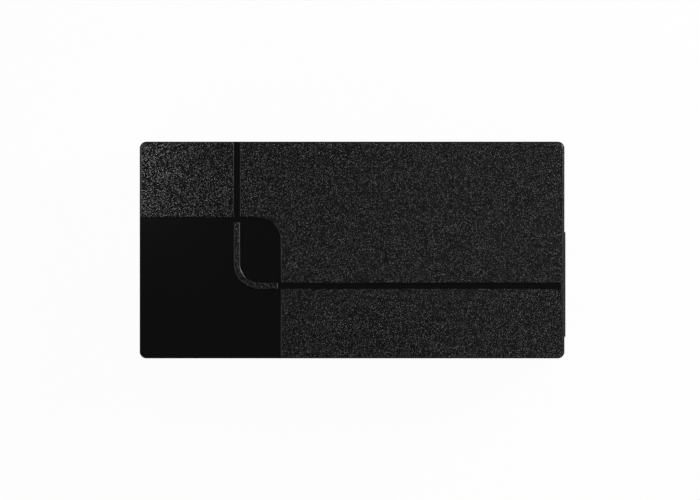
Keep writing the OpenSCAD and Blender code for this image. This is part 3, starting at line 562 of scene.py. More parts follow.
def makeTinnedBrass():
    material, tree, shader, coords = newMaterial("tinnedBrassStrip", tinnedStrip["colour"],
                                                 tinnedStrip["rough"], 1.0)
    patch = addNode(tree, "ShaderNodeTexNoise", {"Scale": 1 / tinnedStrip["patch"], "Detail": 5.0},
                    {"Vector": coords})
    tone = addNode(tree, "ShaderNodeMix",
                   {6: hexColour(tinnedStrip["colour"]), 7: hexColour(tinnedStrip["tin"])},
                   {"Factor": patch.outputs["Fac"]}, data_type="RGBA")
    tree.links.new(tone.outputs[2], shader.inputs["Base Color"])
    return material


# Solder-dipped copper legs: soft grey metal, slightly lumpy where the tin ran

tinnedLeg = {"colour": "#b9bbb8", "lump": 0.4 * mm, "depth": 0.03 * mm}


def makeTinnedLeg():
    material, tree, shader, coords = newMaterial("solderDippedCopper", tinnedLeg["colour"], 0.36, 1.0)
    lump = addNode(tree, "ShaderNodeTexNoise", {"Scale": 1 / tinnedLeg["lump"], "Detail": 2.0},
                   {"Vector": coords})
    bump = addNode(tree, "ShaderNodeBump", {"Distance": tinnedLeg["depth"]}, {"Height": lump.outputs["Fac"]})
    tree.links.new(bump.outputs["Normal"], shader.inputs["Normal"])
    return material


# Epoxy powder coat on a dipped disc: glossy blue with an orange-peel skin

dipped = {"colour": "#1f5c9e", "thin": "#2f74b8", "peel": 0.9 * mm, "depth": 0.05 * mm}


def makeDippedEpoxy():
    material, tree, shader, coords = newMaterial("dippedBlueEpoxy", dipped["colour"], 0.22, Coat_Weight=0.4)
    peel = addNode(tree, "ShaderNodeTexNoise", {"Scale": 1 / dipped["peel"], "Detail": 2.0},
                   {"Vector": coords})
    tone = addNode(tree, "ShaderNodeMix", {6: hexColour(dipped["colour"]), 7: hexColour(dipped["thin"])},
                   {"Factor": peel.outputs["Fac"]}, data_type="RGBA")
    bump = addNode(tree, "ShaderNodeBump", {"Distance": dipped["depth"]}, {"Height": peel.outputs["Fac"]})
    tree.links.new(tone.outputs[2], shader.inputs["Base Color"])
    tree.links.new(bump.outputs["Normal"], shader.inputs["Normal"])
    return material


# The box of a film capacitor: flame-retardant polyester, deep yellow with pale flow streaks

yellowBox = {"colour": "#c79f26", "pale": "#d8b646", "streak": 5 * mm}


def makeYellowBox():
    material, tree, shader, coords = newMaterial("mouldedYellowPolyester", yellowBox["colour"], 0.34)
    streak = addNode(tree, "ShaderNodeTexNoise",
                     {"Scale": 1 / yellowBox["streak"], "Detail": 4.0, "Distortion": 1.5},
                     {"Vector": coords})
    tone = addNode(tree, "ShaderNodeMix",
                   {6: hexColour(yellowBox["colour"]), 7: hexColour(yellowBox["pale"])},
                   {"Factor": streak.outputs["Fac"]}, data_type="RGBA")
    tree.links.new(tone.outputs[2], shader.inputs["Base Color"])
    return material


# Mineral-filled phenolic: dark brown, half matt, flecked with its filler

phenolic = {"colour": "#29231c", "fleck": "#4a4033", "size": 0.35 * mm}


def makePhenolic():
    material, tree, shader, coords = newMaterial("mouldedPhenolic", phenolic["colour"], 0.52)
    flecks = addNode(tree, "ShaderNodeTexVoronoi", {"Scale": 1 / phenolic["size"]},
                     {"Vector": coords}, feature="F1")
    share = addNode(tree, "ShaderNodeMapRange",
                    {"From Min": 0.0, "From Max": 0.35, "To Min": 0.6, "To Max": 0.0},
                    {"Value": flecks.outputs["Distance"]})
    tone = addNode(tree, "ShaderNodeMix",
                   {6: hexColour(phenolic["colour"]), 7: hexColour(phenolic["fleck"])},
                   {"Factor": share.outputs["Result"]}, data_type="RGBA")
    tree.links.new(tone.outputs[2], shader.inputs["Base Color"])
    return material


# Ferrite, pressed and sintered: slate grey ceramic, ground flat, with dark pores

ferrite = {"colour": "#383c3e", "pore": "#15181a", "size": 0.5 * mm, "depth": 0.03 * mm}


def makeFerrite():
    material, tree, shader, coords = newMaterial("sinteredFerrite", ferrite["colour"], 0.58)
    pores = addNode(tree, "ShaderNodeTexNoise",
                    {"Scale": 1 / ferrite["size"], "Detail": 6.0, "Roughness": 0.75},
                    {"Vector": coords})
    share = addNode(tree, "ShaderNodeMapRange", {"From Min": 0.52, "From Max": 0.66},
                    {"Value": pores.outputs["Fac"]})
    tone = addNode(tree, "ShaderNodeMix", {6: hexColour(ferrite["colour"]), 7: hexColour(ferrite["pore"])},
                   {"Factor": share.outputs["Result"]}, data_type="RGBA")
    bump = addNode(tree, "ShaderNodeBump", {"Distance": ferrite["depth"]}, {"Height": pores.outputs["Fac"]})
    tree.links.new(tone.outputs[2], shader.inputs["Base Color"])
    tree.links.new(bump.outputs["Normal"], shader.inputs["Normal"])
    return material


# Copper wire in clear polyurethane enamel: orange-brown metal under a glossy skin

enamelled = {"colour": "#a9552b", "tarnish": "#7e3d20", "patch": 1.2 * mm}


def makeEnamelledCopper():
    material, tree, shader, coords = newMaterial("enamelledCopper", enamelled["colour"], 0.30, 1.0,
                                                 Coat_Weight=0.8,
                                                 Coat_Roughness=0.08)
    patch = addNode(tree, "ShaderNodeTexNoise", {"Scale": 1 / enamelled["patch"], "Detail": 3.0},
                    {"Vector": coords})
    tone = addNode(tree, "ShaderNodeMix",
                   {6: hexColour(enamelled["colour"]), 7: hexColour(enamelled["tarnish"])},
                   {"Factor": patch.outputs["Fac"]}, data_type="RGBA")
    tree.links.new(tone.outputs[2], shader.inputs["Base Color"])
    return material


# Silica-filled epoxy, transfer moulded against a sandblasted tool: charcoal and matt

chipBody = {"colour": "#1c1c1e", "grit": 0.12 * mm, "depth": 0.015 * mm}


def makeChipEpoxy():
    material, tree, shader, coords = newMaterial("transferMouldedEpoxy", chipBody["colour"], 0.62)
    grit = addNode(tree, "ShaderNodeTexNoise", {"Scale": 1 / chipBody["grit"], "Detail": 2.0},
                   {"Vector": coords})
    bump = addNode(tree, "ShaderNodeBump", {"Distance": chipBody["depth"]}, {"Height": grit.outputs["Fac"]})
    tree.links.new(bump.outputs["Normal"], shader.inputs["Normal"])
    return material


# PVC sleeve shrunk on a can: dark blue and glossy, drawn into faint upright ripples

sleeve = {"colour": "#22325a", "ripple": 1.6 * mm, "depth": 0.03 * mm}


def makeShrunkSleeve():
    material, tree, shader, coords = newMaterial("shrunkPvcSleeve", sleeve["colour"], 0.26)
    upright = addNode(tree, "ShaderNodeMapping", {"Scale": (1.0, 1.0, 0.08)}, {"Vector": coords})
    ripple = addNode(tree, "ShaderNodeTexNoise", {"Scale": 1 / sleeve["ripple"], "Detail": 2.0},
                     {"Vector": upright.outputs["Vector"]})
    bump = addNode(tree, "ShaderNodeBump", {"Distance": sleeve["depth"]}, {"Height": ripple.outputs["Fac"]})
    tree.links.new(bump.outputs["Normal"], shader.inputs["Normal"])
    return material


# The plain band printed down the negative side of a sleeve: pale grey ink under the same gloss
def makeSleeveBand():
    material, tree, shader, coords = newMaterial("printedSleeveBand", "#b7bcc4", 0.30)
    ink = addNode(tree, "ShaderNodeTexNoise", {"Scale": 1 / sleeve["ripple"], "Detail": 4.0},
                  {"Vector": coords})
    rough = addNode(tree, "ShaderNodeMapRange", {"To Min": 0.24, "To Max": 0.38},
                    {"Value": ink.outputs["Fac"]})
    tree.links.new(rough.outputs["Result"], shader.inputs["Roughness"])
    return material


# Impact-extruded aluminium, as on the top of a can: soft white metal with a finely pitted skin

canTop = {"colour": "#c6c8ca", "line": 0.15 * mm, "depth": 0.004 * mm}


def makeCanAluminium():
    material, tree, shader, coords = newMaterial("extrudedAluminium", canTop["colour"], 0.34, 1.0)
    line = addNode(tree, "ShaderNodeTexNoise", {"Scale": 1 / canTop["line"], "Detail": 2.0},
                   {"Vector": coords})
    bump = addNode(tree, "ShaderNodeBump", {"Distance": canTop["depth"]}, {"Height": line.outputs["Fac"]})
    tree.links.new(bump.outputs["Normal"], shader.inputs["Normal"])
    return material


# Rolled aluminium plate, sawn to length: grey metal with rolling lines along the plate

plate = {"colour": "#aeb1b4", "rough": 0.36, "line": 0.18 * mm, "depth": 0.006 * mm}


def makeRolledAluminium():
    material, tree, shader, coords = newMaterial("rolledAluminium", plate["colour"], plate["rough"], 1.0)
    along = addNode(tree, "ShaderNodeMapping", {"Scale": (0.04, 1.0, 1.0)}, {"Vector": coords})
    line = addNode(tree, "ShaderNodeTexNoise", {"Scale": 1 / plate["line"], "Detail": 3.0},
                   {"Vector": along.outputs["Vector"]})
    rough = addNode(tree, "ShaderNodeMapRange",
                    {"To Min": plate["rough"] - 0.1, "To Max": plate["rough"] + 0.1},
                    {"Value": line.outputs["Fac"]})
    bump = addNode(tree, "ShaderNodeBump", {"Distance": plate["depth"]}, {"Height": line.outputs["Fac"]})
    tree.links.new(rough.outputs["Result"], shader.inputs["Roughness"])
    tree.links.new(bump.outputs["Normal"], shader.inputs["Normal"])
    return material


# Silicone filled with ceramic powder, on glass cloth: pale blue-grey and matt, with the weave printed in it

pad = {"colour": "#aebac4", "thread": 0.5 * mm, "depth": 0.02 * mm}


def makeSiliconePad():
    material, tree, shader, coords = newMaterial("siliconeGlassCloth", pad["colour"], 0.72)
    warp = addNode(tree, "ShaderNodeTexWave", {"Scale": 0.314 / pad["thread"]},
                   {"Vector": coords}, bands_direction="X")
    weft = addNode(tree, "ShaderNodeTexWave", {"Scale": 0.314 / pad["thread"]},
                   {"Vector": coords}, bands_direction="Z")
    cloth = addNode(tree, "ShaderNodeMath", None, {0: warp.outputs["Fac"], 1: weft.outputs["Fac"]},
                    operation="MULTIPLY")
    bump = addNode(tree, "ShaderNodeBump", {"Distance": pad["depth"]}, {"Height": cloth.outputs[0]})
    tree.links.new(bump.outputs["Normal"], shader.inputs["Normal"])
    return material


# Polyester winding tape, wrapped under tension: amber yellow, glossy, with the edges of its turns showing

tape = {"colour": "#c39a22", "edge": "#8f6d12", "turn": 3.0 * mm, "depth": 0.05 * mm}


def makeWindingTape():
    material, tree, shader, coords = newMaterial("polyesterWindingTape", tape["colour"], 0.25,
                                                 Coat_Weight=0.3)
    turns = addNode(tree, "ShaderNodeTexWave", {"Scale": 0.314 / tape["turn"], "Distortion": 0.4},
                    {"Vector": coords}, bands_direction="X", wave_profile="SAW")
    edge = addNode(tree, "ShaderNodeMapRange",
                   {"From Min": 0.0, "From Max": 0.08, "To Min": 1.0, "To Max": 0.0},
                   {"Value": turns.outputs["Fac"]})
    tone = addNode(tree, "ShaderNodeMix", {6: hexColour(tape["colour"]), 7: hexColour(tape["edge"])},
                   {"Factor": edge.outputs["Result"]}, data_type="RGBA")
    bump = addNode(tree, "ShaderNodeBump", {"Distance": tape["depth"]}, {"Height": turns.outputs["Fac"]})
    tree.links.new(tone.outputs[2], shader.inputs["Base Color"])
    tree.links.new(bump.outputs["Normal"], shader.inputs["Normal"])
    return material


# White polyester moulding of the coupler and the lamps: warm white, half gloss, faintly mottled

whiteBody = {"colour": "#e2e1da", "warm": "#d3cfc0", "cloud": 1.5 * mm}


def makeWhiteMoulding():
    material, tree, shader, coords = newMaterial("mouldedWhitePolyester", whiteBody["colour"], 0.38,
                                                 Subsurface_Weight=0.1, Subsurface_Scale=0.0005)
    cloud = addNode(tree, "ShaderNodeTexNoise", {"Scale": 1 / whiteBody["cloud"], "Detail": 3.0},
                    {"Vector": coords})
    tone = addNode(tree, "ShaderNodeMix",
                   {6: hexColour(whiteBody["colour"]), 7: hexColour(whiteBody["warm"])},
                   {"Factor": cloud.outputs["Fac"]}, data_type="RGBA")
    tree.links.new(tone.outputs[2], shader.inputs["Base Color"])
    return material


# Pressed iron powder under yellow lacquer: the grains lift the lacquer into a fine pebble

powder = {"colour": "#caa92c", "grain": 0.4 * mm, "depth": 0.06 * mm}


def makePowderCore():
    material, tree, shader, coords = newMaterial("lacqueredIronPowder", powder["colour"], 0.40)
    grain = addNode(tree, "ShaderNodeTexVoronoi", {"Scale": 1 / powder["grain"]},
                    {"Vector": coords}, feature="SMOOTH_F1")
    bump = addNode(tree, "ShaderNodeBump", {"Distance": powder["depth"]},
                   {"Height": grain.outputs["Distance"]},
                   invert=True)
    tree.links.new(bump.outputs["Normal"], shader.inputs["Normal"])
    return material


erodedAbs = makeErodedAbs()
polishedAbs = makePolishedAbs()
innerAbs = makeInnerAbs()
rimHighlightAbs = makeRimHighlightAbs()
edgeShadeAbs = makeEdgeShadeAbs()
boardEdgeEpoxy = makeBoardEdge()
tinnedCopper = makeTinnedLeg()
sleeveBand = makeSleeveBand()
canAluminium = makeCanAluminium()
finishes = {
    "textured_case": erodedAbs,
    "foot_rubber": makeMouldedRubber(),
    "zinc_screw": makeZincSteel(),
    "blank_label": makeLabelFilm(),
    "insulation_film": makePolyesterFilm(),
    "circuit_board": makeSolderResist(),
    "inlet_plastic": makeMouldedNylon(),
    "nickel_blade": makeNickelBrass(),
    "fuse_glass": makeFuseGlass(),
    "brass_clip": makeTinnedBrass(),
    "blue_epoxy": makeDippedEpoxy(),
    "capacitor_yellow": makeYellowBox(),
    "dark_moulding": makePhenolic(),
    "ferrite": makeFerrite(),
    "copper_wire": makeEnamelledCopper(),
    "chip_plastic": makeChipEpoxy(),
    "capacitor_sleeve": makeShrunkSleeve(),
    "heatsink_aluminium": makeRolledAluminium(),
    "silicone_pad": makeSiliconePad(),
    "winding_tape": makeWindingTape(),
    "white_moulding": makeWhiteMoulding(),
    "powder_core": makePowderCore(),
    "socket_plastic": makeMouldedPbt(),
    "gold_contact": makeGoldContact(),
    "clear_pipe": makeClearPipe(),
}

for node, slot in slotOf.items():
    target = frame["nodes"][node].data
    target.materials.clear()
    target.materials.append(finishes[slot])
print("materials are made", len(bpy.data.materials))


def weldedCopy(node):
    only(frame["nodes"][node])
    bpy.ops.object.duplicate()
    copy = bpy.context.object
    copy.name = node + ".finished"
    only(copy)
    bpy.ops.object.mode_set(mode="EDIT")
    bpy.ops.mesh.select_mode(type="VERT")
    bpy.ops.mesh.select_all(action="SELECT")
    bpy.ops.mesh.remove_doubles(threshold=0.002 * mm)
    bpy.ops.mesh.dissolve_limited(angle_limit=math.radians(0.4))
    bpy.ops.mesh.select_all(action="DESELECT")
    bpy.ops.object.mode_set(mode="OBJECT")
    return copy


# Rounds the sharp edges whose two ends both pass the test

def easeEdges(obj, width, segments, chosen=None, sharp=40, material=-1, clamp=True):
    only(obj)
    bpy.ops.object.mode_set(mode="EDIT")
    bpy.ops.mesh.select_mode(type="EDGE")
    bpy.ops.mesh.select_all(action="DESELECT")
    bpy.ops.mesh.edges_select_sharp(sharpness=math.radians(sharp))
    bpy.ops.object.mode_set(mode="OBJECT")
    mesh = obj.data
    picked = [edge for edge in mesh.edges if edge.select
              and (chosen is None or all(chosen(mesh.vertices[v].co) for v in edge.vertices))]
    ends = {v for edge in picked for v in edge.vertices}
    wanted = {edge.index for edge in picked}
    for vertex in mesh.vertices:
        vertex.select = vertex.index in ends
    for edge in mesh.edges:
        edge.select = edge.index in wanted
    for face in mesh.polygons:
        face.select = False
    bpy.ops.object.mode_set(mode="EDIT")
    bpy.ops.mesh.bevel(offset=width, offset_type="OFFSET", segments=segments, affect="EDGES",
                       clamp_overlap=clamp, material=material)
    bpy.ops.mesh.select_all(action="DESELECT")
    bpy.ops.object.mode_set(mode="OBJECT")
    print(obj.name, "eased edges", len(wanted))


# Welds what bevels and cuts leave nearly touching, then smooths all but sharp edges and mirror-flat faces
def smoothen(obj, angle=35, mirror=None):
    only(obj)
    bpy.ops.object.mode_set(mode="EDIT")
    bpy.ops.mesh.select_all(action="SELECT")
    bpy.ops.mesh.remove_doubles(threshold=0.002 * mm)
    bpy.ops.mesh.dissolve_degenerate(threshold=0.002 * mm)
    bpy.ops.mesh.select_all(action="DESELECT")
    bpy.ops.object.mode_set(mode="OBJECT")
    bpy.ops.object.shade_smooth_by_angle(angle=math.radians(angle))
    for face in obj.data.polygons:
        if face.material_index == mirror:
            face.use_smooth = False
    normals = obj.modifiers.new("flatFacesStayFlat", "WEIGHTED_NORMAL")
    normals.keep_sharp = True
    bpy.ops.object.modifier_apply(modifier=normals.name)


def standFor(obj, node):
    obj.name = node + ".finished"
    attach(obj, bodyOf[node])
    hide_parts(node)


def useMaterials(obj, *materials):
    obj.data.materials.clear()
    for material in materials:
        obj.data.materials.append(material)


# Moves a mesh that was made round the origin to its place, and leaves its object at the origin
def place(obj, at=(0, 0, 0), turn=(0, 0, 0)):
    only(obj)
    obj.location = at
    obj.rotation_euler = turn
    bpy.ops.object.transform_apply(location=True, rotation=True, scale=True)
    return obj


def join(parts):
    only(*parts)
    bpy.ops.object.join()
    return bpy.context.object


# Puts a copy of a mesh, each with its own data, at every place and turn, and joins them
def repeat(obj, places):
    parts = []
    for at, turn in places:
        only(obj)
        bpy.ops.object.duplicate()
        parts.append(place(bpy.context.object, at, turn))
    bpy.data.objects.remove(obj)
    return join(parts)


# A block between two corners, as a tool to cut with
def newBlock(low, high):
    bpy.ops.object.select_all(action="DESELECT")
    middle = [(a + b) / 2 for a, b in zip(low, high)]
    bpy.ops.mesh.primitive_cube_add(size=1, location=middle)
    block = bpy.context.object
    block.scale = [b - a for a, b in zip(low, high)]
    bpy.ops.object.transform_apply(location=True, rotation=True, scale=True)
    return block


# Spins an outline of (radius, height) points round Z
def turned(outline, steps=48):
    bpy.ops.object.select_all(action="DESELECT")
    bpy.ops.mesh.primitive_plane_add(size=mm, location=(0, 0, 0))
    obj = bpy.context.object
    bpy.ops.object.mode_set(mode="EDIT")
    bpy.ops.mesh.select_mode(type="VERT")
    bpy.ops.mesh.select_all(action="SELECT")
    bpy.ops.mesh.merge(type="CENTER")
    bpy.ops.transform.translate(value=(outline[0][0], 0, outline[0][1]))
    for (r0, h0), (r1, h1) in zip(outline, outline[1:]):
        bpy.ops.mesh.extrude_region_move(TRANSFORM_OT_translate={"value": (r1 - r0, 0, h1 - h0)})
    bpy.ops.mesh.select_all(action="SELECT")
    bpy.ops.mesh.spin(steps=steps, angle=math.tau, center=(0, 0, 0), axis=(0, 0, 1))
    bpy.ops.mesh.select_all(action="SELECT")
    bpy.ops.mesh.remove_doubles(threshold=0.001 * mm)
    bpy.ops.mesh.normals_make_consistent(inside=False)
    bpy.ops.mesh.select_all(action="DESELECT")
    bpy.ops.object.mode_set(mode="OBJECT")
    return obj


def cut(obj, tool):
    only(obj)
    carve = obj.modifiers.new("carve", "BOOLEAN")
    carve.operation = "DIFFERENCE"
    carve.solver = "EXACT"
    carve.object = tool
    bpy.ops.object.modifier_apply(modifier=carve.name)
    bpy.data.objects.remove(tool)


# A closed turn of round wire in the XZ plane, round a rectangle with rounded corners
def wireTurn(width, height, cornerR, wireR):
    bpy.ops.object.select_all(action="DESELECT")
    bpy.ops.mesh.primitive_plane_add(size=1, location=(0, 0, 0), rotation=(math.pi / 2, 0, 0))
    turn = bpy.context.object
    turn.scale = (width, height, 1)
    bpy.ops.object.transform_apply(location=True, rotation=True, scale=True)
    bpy.ops.object.mode_set(mode="EDIT")
    bpy.ops.mesh.select_all(action="SELECT")
    bpy.ops.mesh.bevel(offset=cornerR, segments=5, affect="VERTICES")
    bpy.ops.mesh.select_all(action="SELECT")
    bpy.ops.mesh.delete(type="ONLY_FACE")
    bpy.ops.object.mode_set(mode="OBJECT")
    only(turn)
    bpy.ops.object.convert(target="CURVE")
    turn.data.bevel_depth = wireR
    turn.data.bevel_resolution = 2
    bpy.ops.object.convert(target="MESH")
    return bpy.context.object


# The four places of a node's like pieces, from its box and the radius of each
def fourPlaces(node, radius):
    low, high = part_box(node)
    return [(x, y) for x in (low.x + radius, high.x - radius) for y in (low.y + radius, high.y - radius)]


# The case, whose outer faces are eroded, inner faces plain and sunk faces polished

case = {"cornerR": 2 * mm, "recess": 0.4 * mm, "splitZ": 22.15 * mm, "seam": 0.3 * mm, "near": 0.03 * mm,
        "rim": 0.20 * mm, "seamRim": 0.14 * mm, "segments": 3, "edgeR": 0.6 * mm, "skin": 0.2 * mm}

# How upright a face's normal is: where the round edge begins, where its painted shade gives way to its
# painted highlight, and where it ends
lean = {"edge": 0.02, "shadeToHighlight": 0.92, "level": 0.99, "top": 0.9998}
halfL = topHigh.x
halfW = topHigh.y


# How far a point lies inside the case's outline, seen from above
def depthInCase(point):
    x = abs(point.x) - (halfL - case["cornerR"])
    y = abs(point.y) - (halfW - case["cornerR"])
    return case["cornerR"] - math.hypot(max(x, 0), max(y, 0)) - min(max(x, y), 0)


def finishTopShell():
    shell = weldedCopy("top_shell")
    useMaterials(shell, erodedAbs, polishedAbs, innerAbs, rimHighlightAbs, edgeShadeAbs)
    easeEdges(shell, case["rim"], case["segments"], lambda p: p.z > topHigh.z - case["near"], material=3,
              clamp=False)
    seamZ = case["splitZ"] + case["seam"]
    easeEdges(shell, case["seamRim"], 2,
              lambda p: abs(p.z - seamZ) < case["near"] and depthInCase(p) < case["near"])
    recessZ = topHigh.z - case["recess"]
    # Rims and the shallow part of the round edge that face the ends get the painted highlight, those facing
    # the sides keep the grain; the steep part of the round edge gets the painted shade
    for face in shell.data.polygons:
        onEnd = abs(face.normal.x) > abs(face.normal.y)
        if face.material_index == 3:
            face.material_index = 3 if onEnd else 0
            continue
        depth = min(depthInCase(shell.data.vertices[v].co) for v in face.vertices)
        steep = face.normal.z
        onEdge = depth < case["edgeR"] and face.center.z > recessZ - case["edgeR"]
        if onEdge and lean["edge"] < steep < lean["top"]:
            face.material_index = 4 if steep < lean["shadeToHighlight"] else (3 if onEnd else 0)
        elif steep > lean["level"] and abs(face.center.z - recessZ) < case["near"]:
            face.material_index = 1
        elif face.center.z > recessZ - 2 * case["near"] or depth < case["skin"]:
            face.material_index = 0
        else:
            face.material_index = 2
    smoothen(shell, mirror=1)
    standFor(shell, "top_shell")


baseRim = {"width": 0.15 * mm, "segments": 2, "outer": 0.5 * mm, "edgeR": 0.62 * mm}


def finishBottomShell():
    shell = weldedCopy("bottom_shell")
    useMaterials(shell, erodedAbs, innerAbs)
    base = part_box("bottom_shell")[0].z
    easeEdges(shell, case["seamRim"], 2,
              lambda p: abs(p.z - case["splitZ"]) < case["near"] and depthInCase(p) < case["near"])
    easeEdges(shell, baseRim["width"], baseRim["segments"],
              lambda p: p.z < base + case["near"] and depthInCase(p) > baseRim["outer"], clamp=False)
    for face in shell.data.polygons:
        depth = min(depthInCase(shell.data.vertices[v].co) for v in face.vertices)
        under = face.center.z < base + baseRim["edgeR"] and face.normal.z < -0.1
        face.material_index = 0 if depth < case["skin"] or under else 1
    smoothen(shell)
    standFor(shell, "bottom_shell")


finishTopShell()
finishBottomShell()
print("the two shells are finished")


# A foot has a rolled rim and a shallow dish in its tread

foot = {"r": 4.5 * mm, "rim": 0.55 * mm, "tread": 3.0 * mm, "dish": 0.25 * mm}


def moldFeet():
    low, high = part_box("rubber_feet")
    r, rim, tread = foot["r"], foot["rim"], foot["tread"]
    height = high.z - low.z
    outline = [(0, foot["dish"]), (tread - 0.6 * mm, foot["dish"]), (tread - 0.2 * mm, 0.6 * foot["dish"]),
               (tread, 0.1 * foot["dish"]), (tread + 0.15 * mm, 0)]
    outline += [(r - rim * (1 - math.sin(a)), rim * (1 - math.cos(a)))
                for a in [math.radians(15 * i) for i in range(7)]]
    outline += [(r, height - 0.1 * mm), (r - 0.1 * mm, height), (0, height)]
    feet = repeat(turned(outline), [((x, y, low.z), (0, 0, 0)) for x, y in fourPlaces("rubber_feet", r)])
    useMaterials(feet, finishes["foot_rubber"])
    smoothen(feet, 50)
    standFor(feet, "rubber_feet")


# Pan-head screws: a domed head with a cross recess, and a shank with its thread as ridges

screw = {"headH": 1.8 * mm, "pitch": 0.7 * mm, "root": 0.8, "crossL": 1.1, "crossW": 0.26,
         "crossDepth": 0.62, "caseR": 1.5 * mm, "caseHeadR": 2.9 * mm, "boardR": 1.4 * mm,
         "boardHeadR": 2.7 * mm, "plateL": 4.6 * mm}


# The head's seat is at z = 0, its shank points up
def newScrew(shankR, length, headR):
    h = screw["headH"]
    dome = [(0.0, 1.0), (0.35, 0.99), (0.6, 0.93), (0.8, 0.8), (0.93, 0.6), (0.99, 0.35), (1.0, 0.1),
            (0.97, 0.0)]
    outline = [(headR * r, -h * z) for r, z in dome]
    outline += [(shankR * screw["root"], 0)]
    ridges = int((length - 1 * mm) / screw["pitch"])
    for i in range(ridges):
        z = (0.3 + i) * screw["pitch"]
        outline += [(shankR * screw["root"], z), (shankR, z + 0.3 * screw["pitch"]),
                    (shankR, z + 0.4 * screw["pitch"]), (shankR * screw["root"], z + 0.7 * screw["pitch"])]
    outline += [(shankR * screw["root"], length - 0.3 * mm), (shankR * 0.5, length), (0, length)]
    made = turned(outline, steps=32)
    long, wide, deep = headR * screw["crossL"] / 2, headR * screw["crossW"] / 2, h * screw["crossDepth"]
    for turn in (0, math.pi / 2):
        wing = newBlock((-long, -wide, -1.5 * h), (long, wide, deep - h))
        only(wing)
        bpy.ops.object.mode_set(mode="EDIT")
        bpy.ops.mesh.select_mode(type="FACE")
        bpy.ops.mesh.select_all(action="DESELECT")
        bpy.ops.object.mode_set(mode="OBJECT")
        for face in wing.data.polygons:
            face.select = face.normal.z > 0.9
        bpy.ops.object.mode_set(mode="EDIT")
        bpy.ops.transform.resize(value=(0.55, 0.7, 1))
        bpy.ops.object.mode_set(mode="OBJECT")
        cut(made, place(wing, turn=(0, 0, turn)))
    return made


def driveInto(node, shankR, length, headR, places):
    driven = repeat(newScrew(shankR, length, headR), places)
    useMaterials(driven, finishes["zinc_screw"])
    smoothen(driven, 30)
    standFor(driven, node)


def driveScrews():
    low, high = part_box("case_screws")
    headR = screw["caseHeadR"]
    seat = low.z + screw["headH"]
    corners = enumerate(fourPlaces("case_screws", headR))
    driveInto("case_screws", screw["caseR"], high.z - seat, headR,
              [((x, y, seat), (0, 0, 0.7 * i)) for i, (x, y) in corners])

    low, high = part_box("board_screws")
    headR = screw["boardHeadR"]
    seat = high.z - screw["headH"]
    corners = enumerate(fourPlaces("board_screws", headR))
    driveInto("board_screws", screw["boardR"], seat - low.z, headR,
              [((x, y, seat), (math.pi, 0, 0.9 * i)) for i, (x, y) in corners])

    low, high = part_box("heatsink_screws")
    z = (low.z + high.z) / 2
    near, far = low.y + screw["plateL"], high.y - screw["plateL"]
    driveInto("heatsink_screws", screw["caseR"], screw["plateL"], headR,
              [((low.x + headR, near, z), (math.pi / 2, 0, 0)),
               ((high.x - headR, far, z), (-math.pi / 2, 0, 0))])


moldFeet()
driveScrews()
print("feet and screws are finished")


# A copy of a CAD node with some of its edges rounded, which stands for it
def easedNode(node, width, segments=2, chosen=None, sharp=40, clamp=True):
    piece = weldedCopy(node)
    easeEdges(piece, width, segments, chosen, sharp, clamp=clamp)
    smoothen(piece)
    standFor(piece, node)
    return piece


# The mains inlet: its mouth and rim are rounded, and its blades have chamfered ends

inlet = {"rim": 0.35 * mm, "bladeEnd": 0.45 * mm, "near": 0.05 * mm}


def finishInlet():
    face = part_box("inlet_body")[0].x
    easedNode("inlet_body", inlet["rim"], 3, lambda p: p.x < face + inlet["near"])
    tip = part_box("inlet_blades")[0].x
    easedNode("inlet_blades", inlet["bladeEnd"], 3, lambda p: p.x < tip + inlet["near"])


# The sockets: the rims of the housing and of its ports are rounded, and each contact is round-edged wire

sockets = {"rim": 0.22 * mm, "near": 0.05 * mm, "wire": 0.09 * mm}


def finishSockets():
    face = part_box("jack_housing")[1].x
    easedNode("jack_housing", sockets["rim"], 3, lambda p: p.x > face - sockets["near"], clamp=False)
    for node in ("data_terminals", "power_terminals", "data_springs", "power_springs"):
        easedNode(node, sockets["wire"], 2)


# The indicators: pipes with a rounded end, over moulded lamps

indicator = {"pipeEnd": 0.25 * mm, "lamp": 0.3 * mm}


def finishIndicators():
    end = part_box("light_pipes")[1].x
    easedNode("light_pipes", indicator["pipeEnd"], 4, lambda p: p.x > end - 0.05 * mm, sharp=30)
    easedNode("status_leds", indicator["lamp"], 3)


finishInlet()
finishSockets()
finishIndicators()
easedNode("rating_label", 0.06 * mm, 2)
print("inlet, sockets, indicators and label are finished")


# The board is green on its faces and straw-coloured along its routed edge

def finishBoard():
    board = weldedCopy("circuit_board")
    useMaterials(board, finishes["circuit_board"], boardEdgeEpoxy)
    easeEdges(board, 0.08 * mm, 1)
    for face in board.data.polygons:
        face.material_index = 0 if abs(face.normal.z) > 0.8 else 1
    smoothen(board)
    standFor(board, "circuit_board")


# Electrolytic cans: a rolled bead near the base, a sleeve folded over the rim and a scored top

can = {"bead": 0.5 * mm, "fold": 1.1 * mm, "sunk": 0.35 * mm, "score": 0.3 * mm, "band": 0.38}


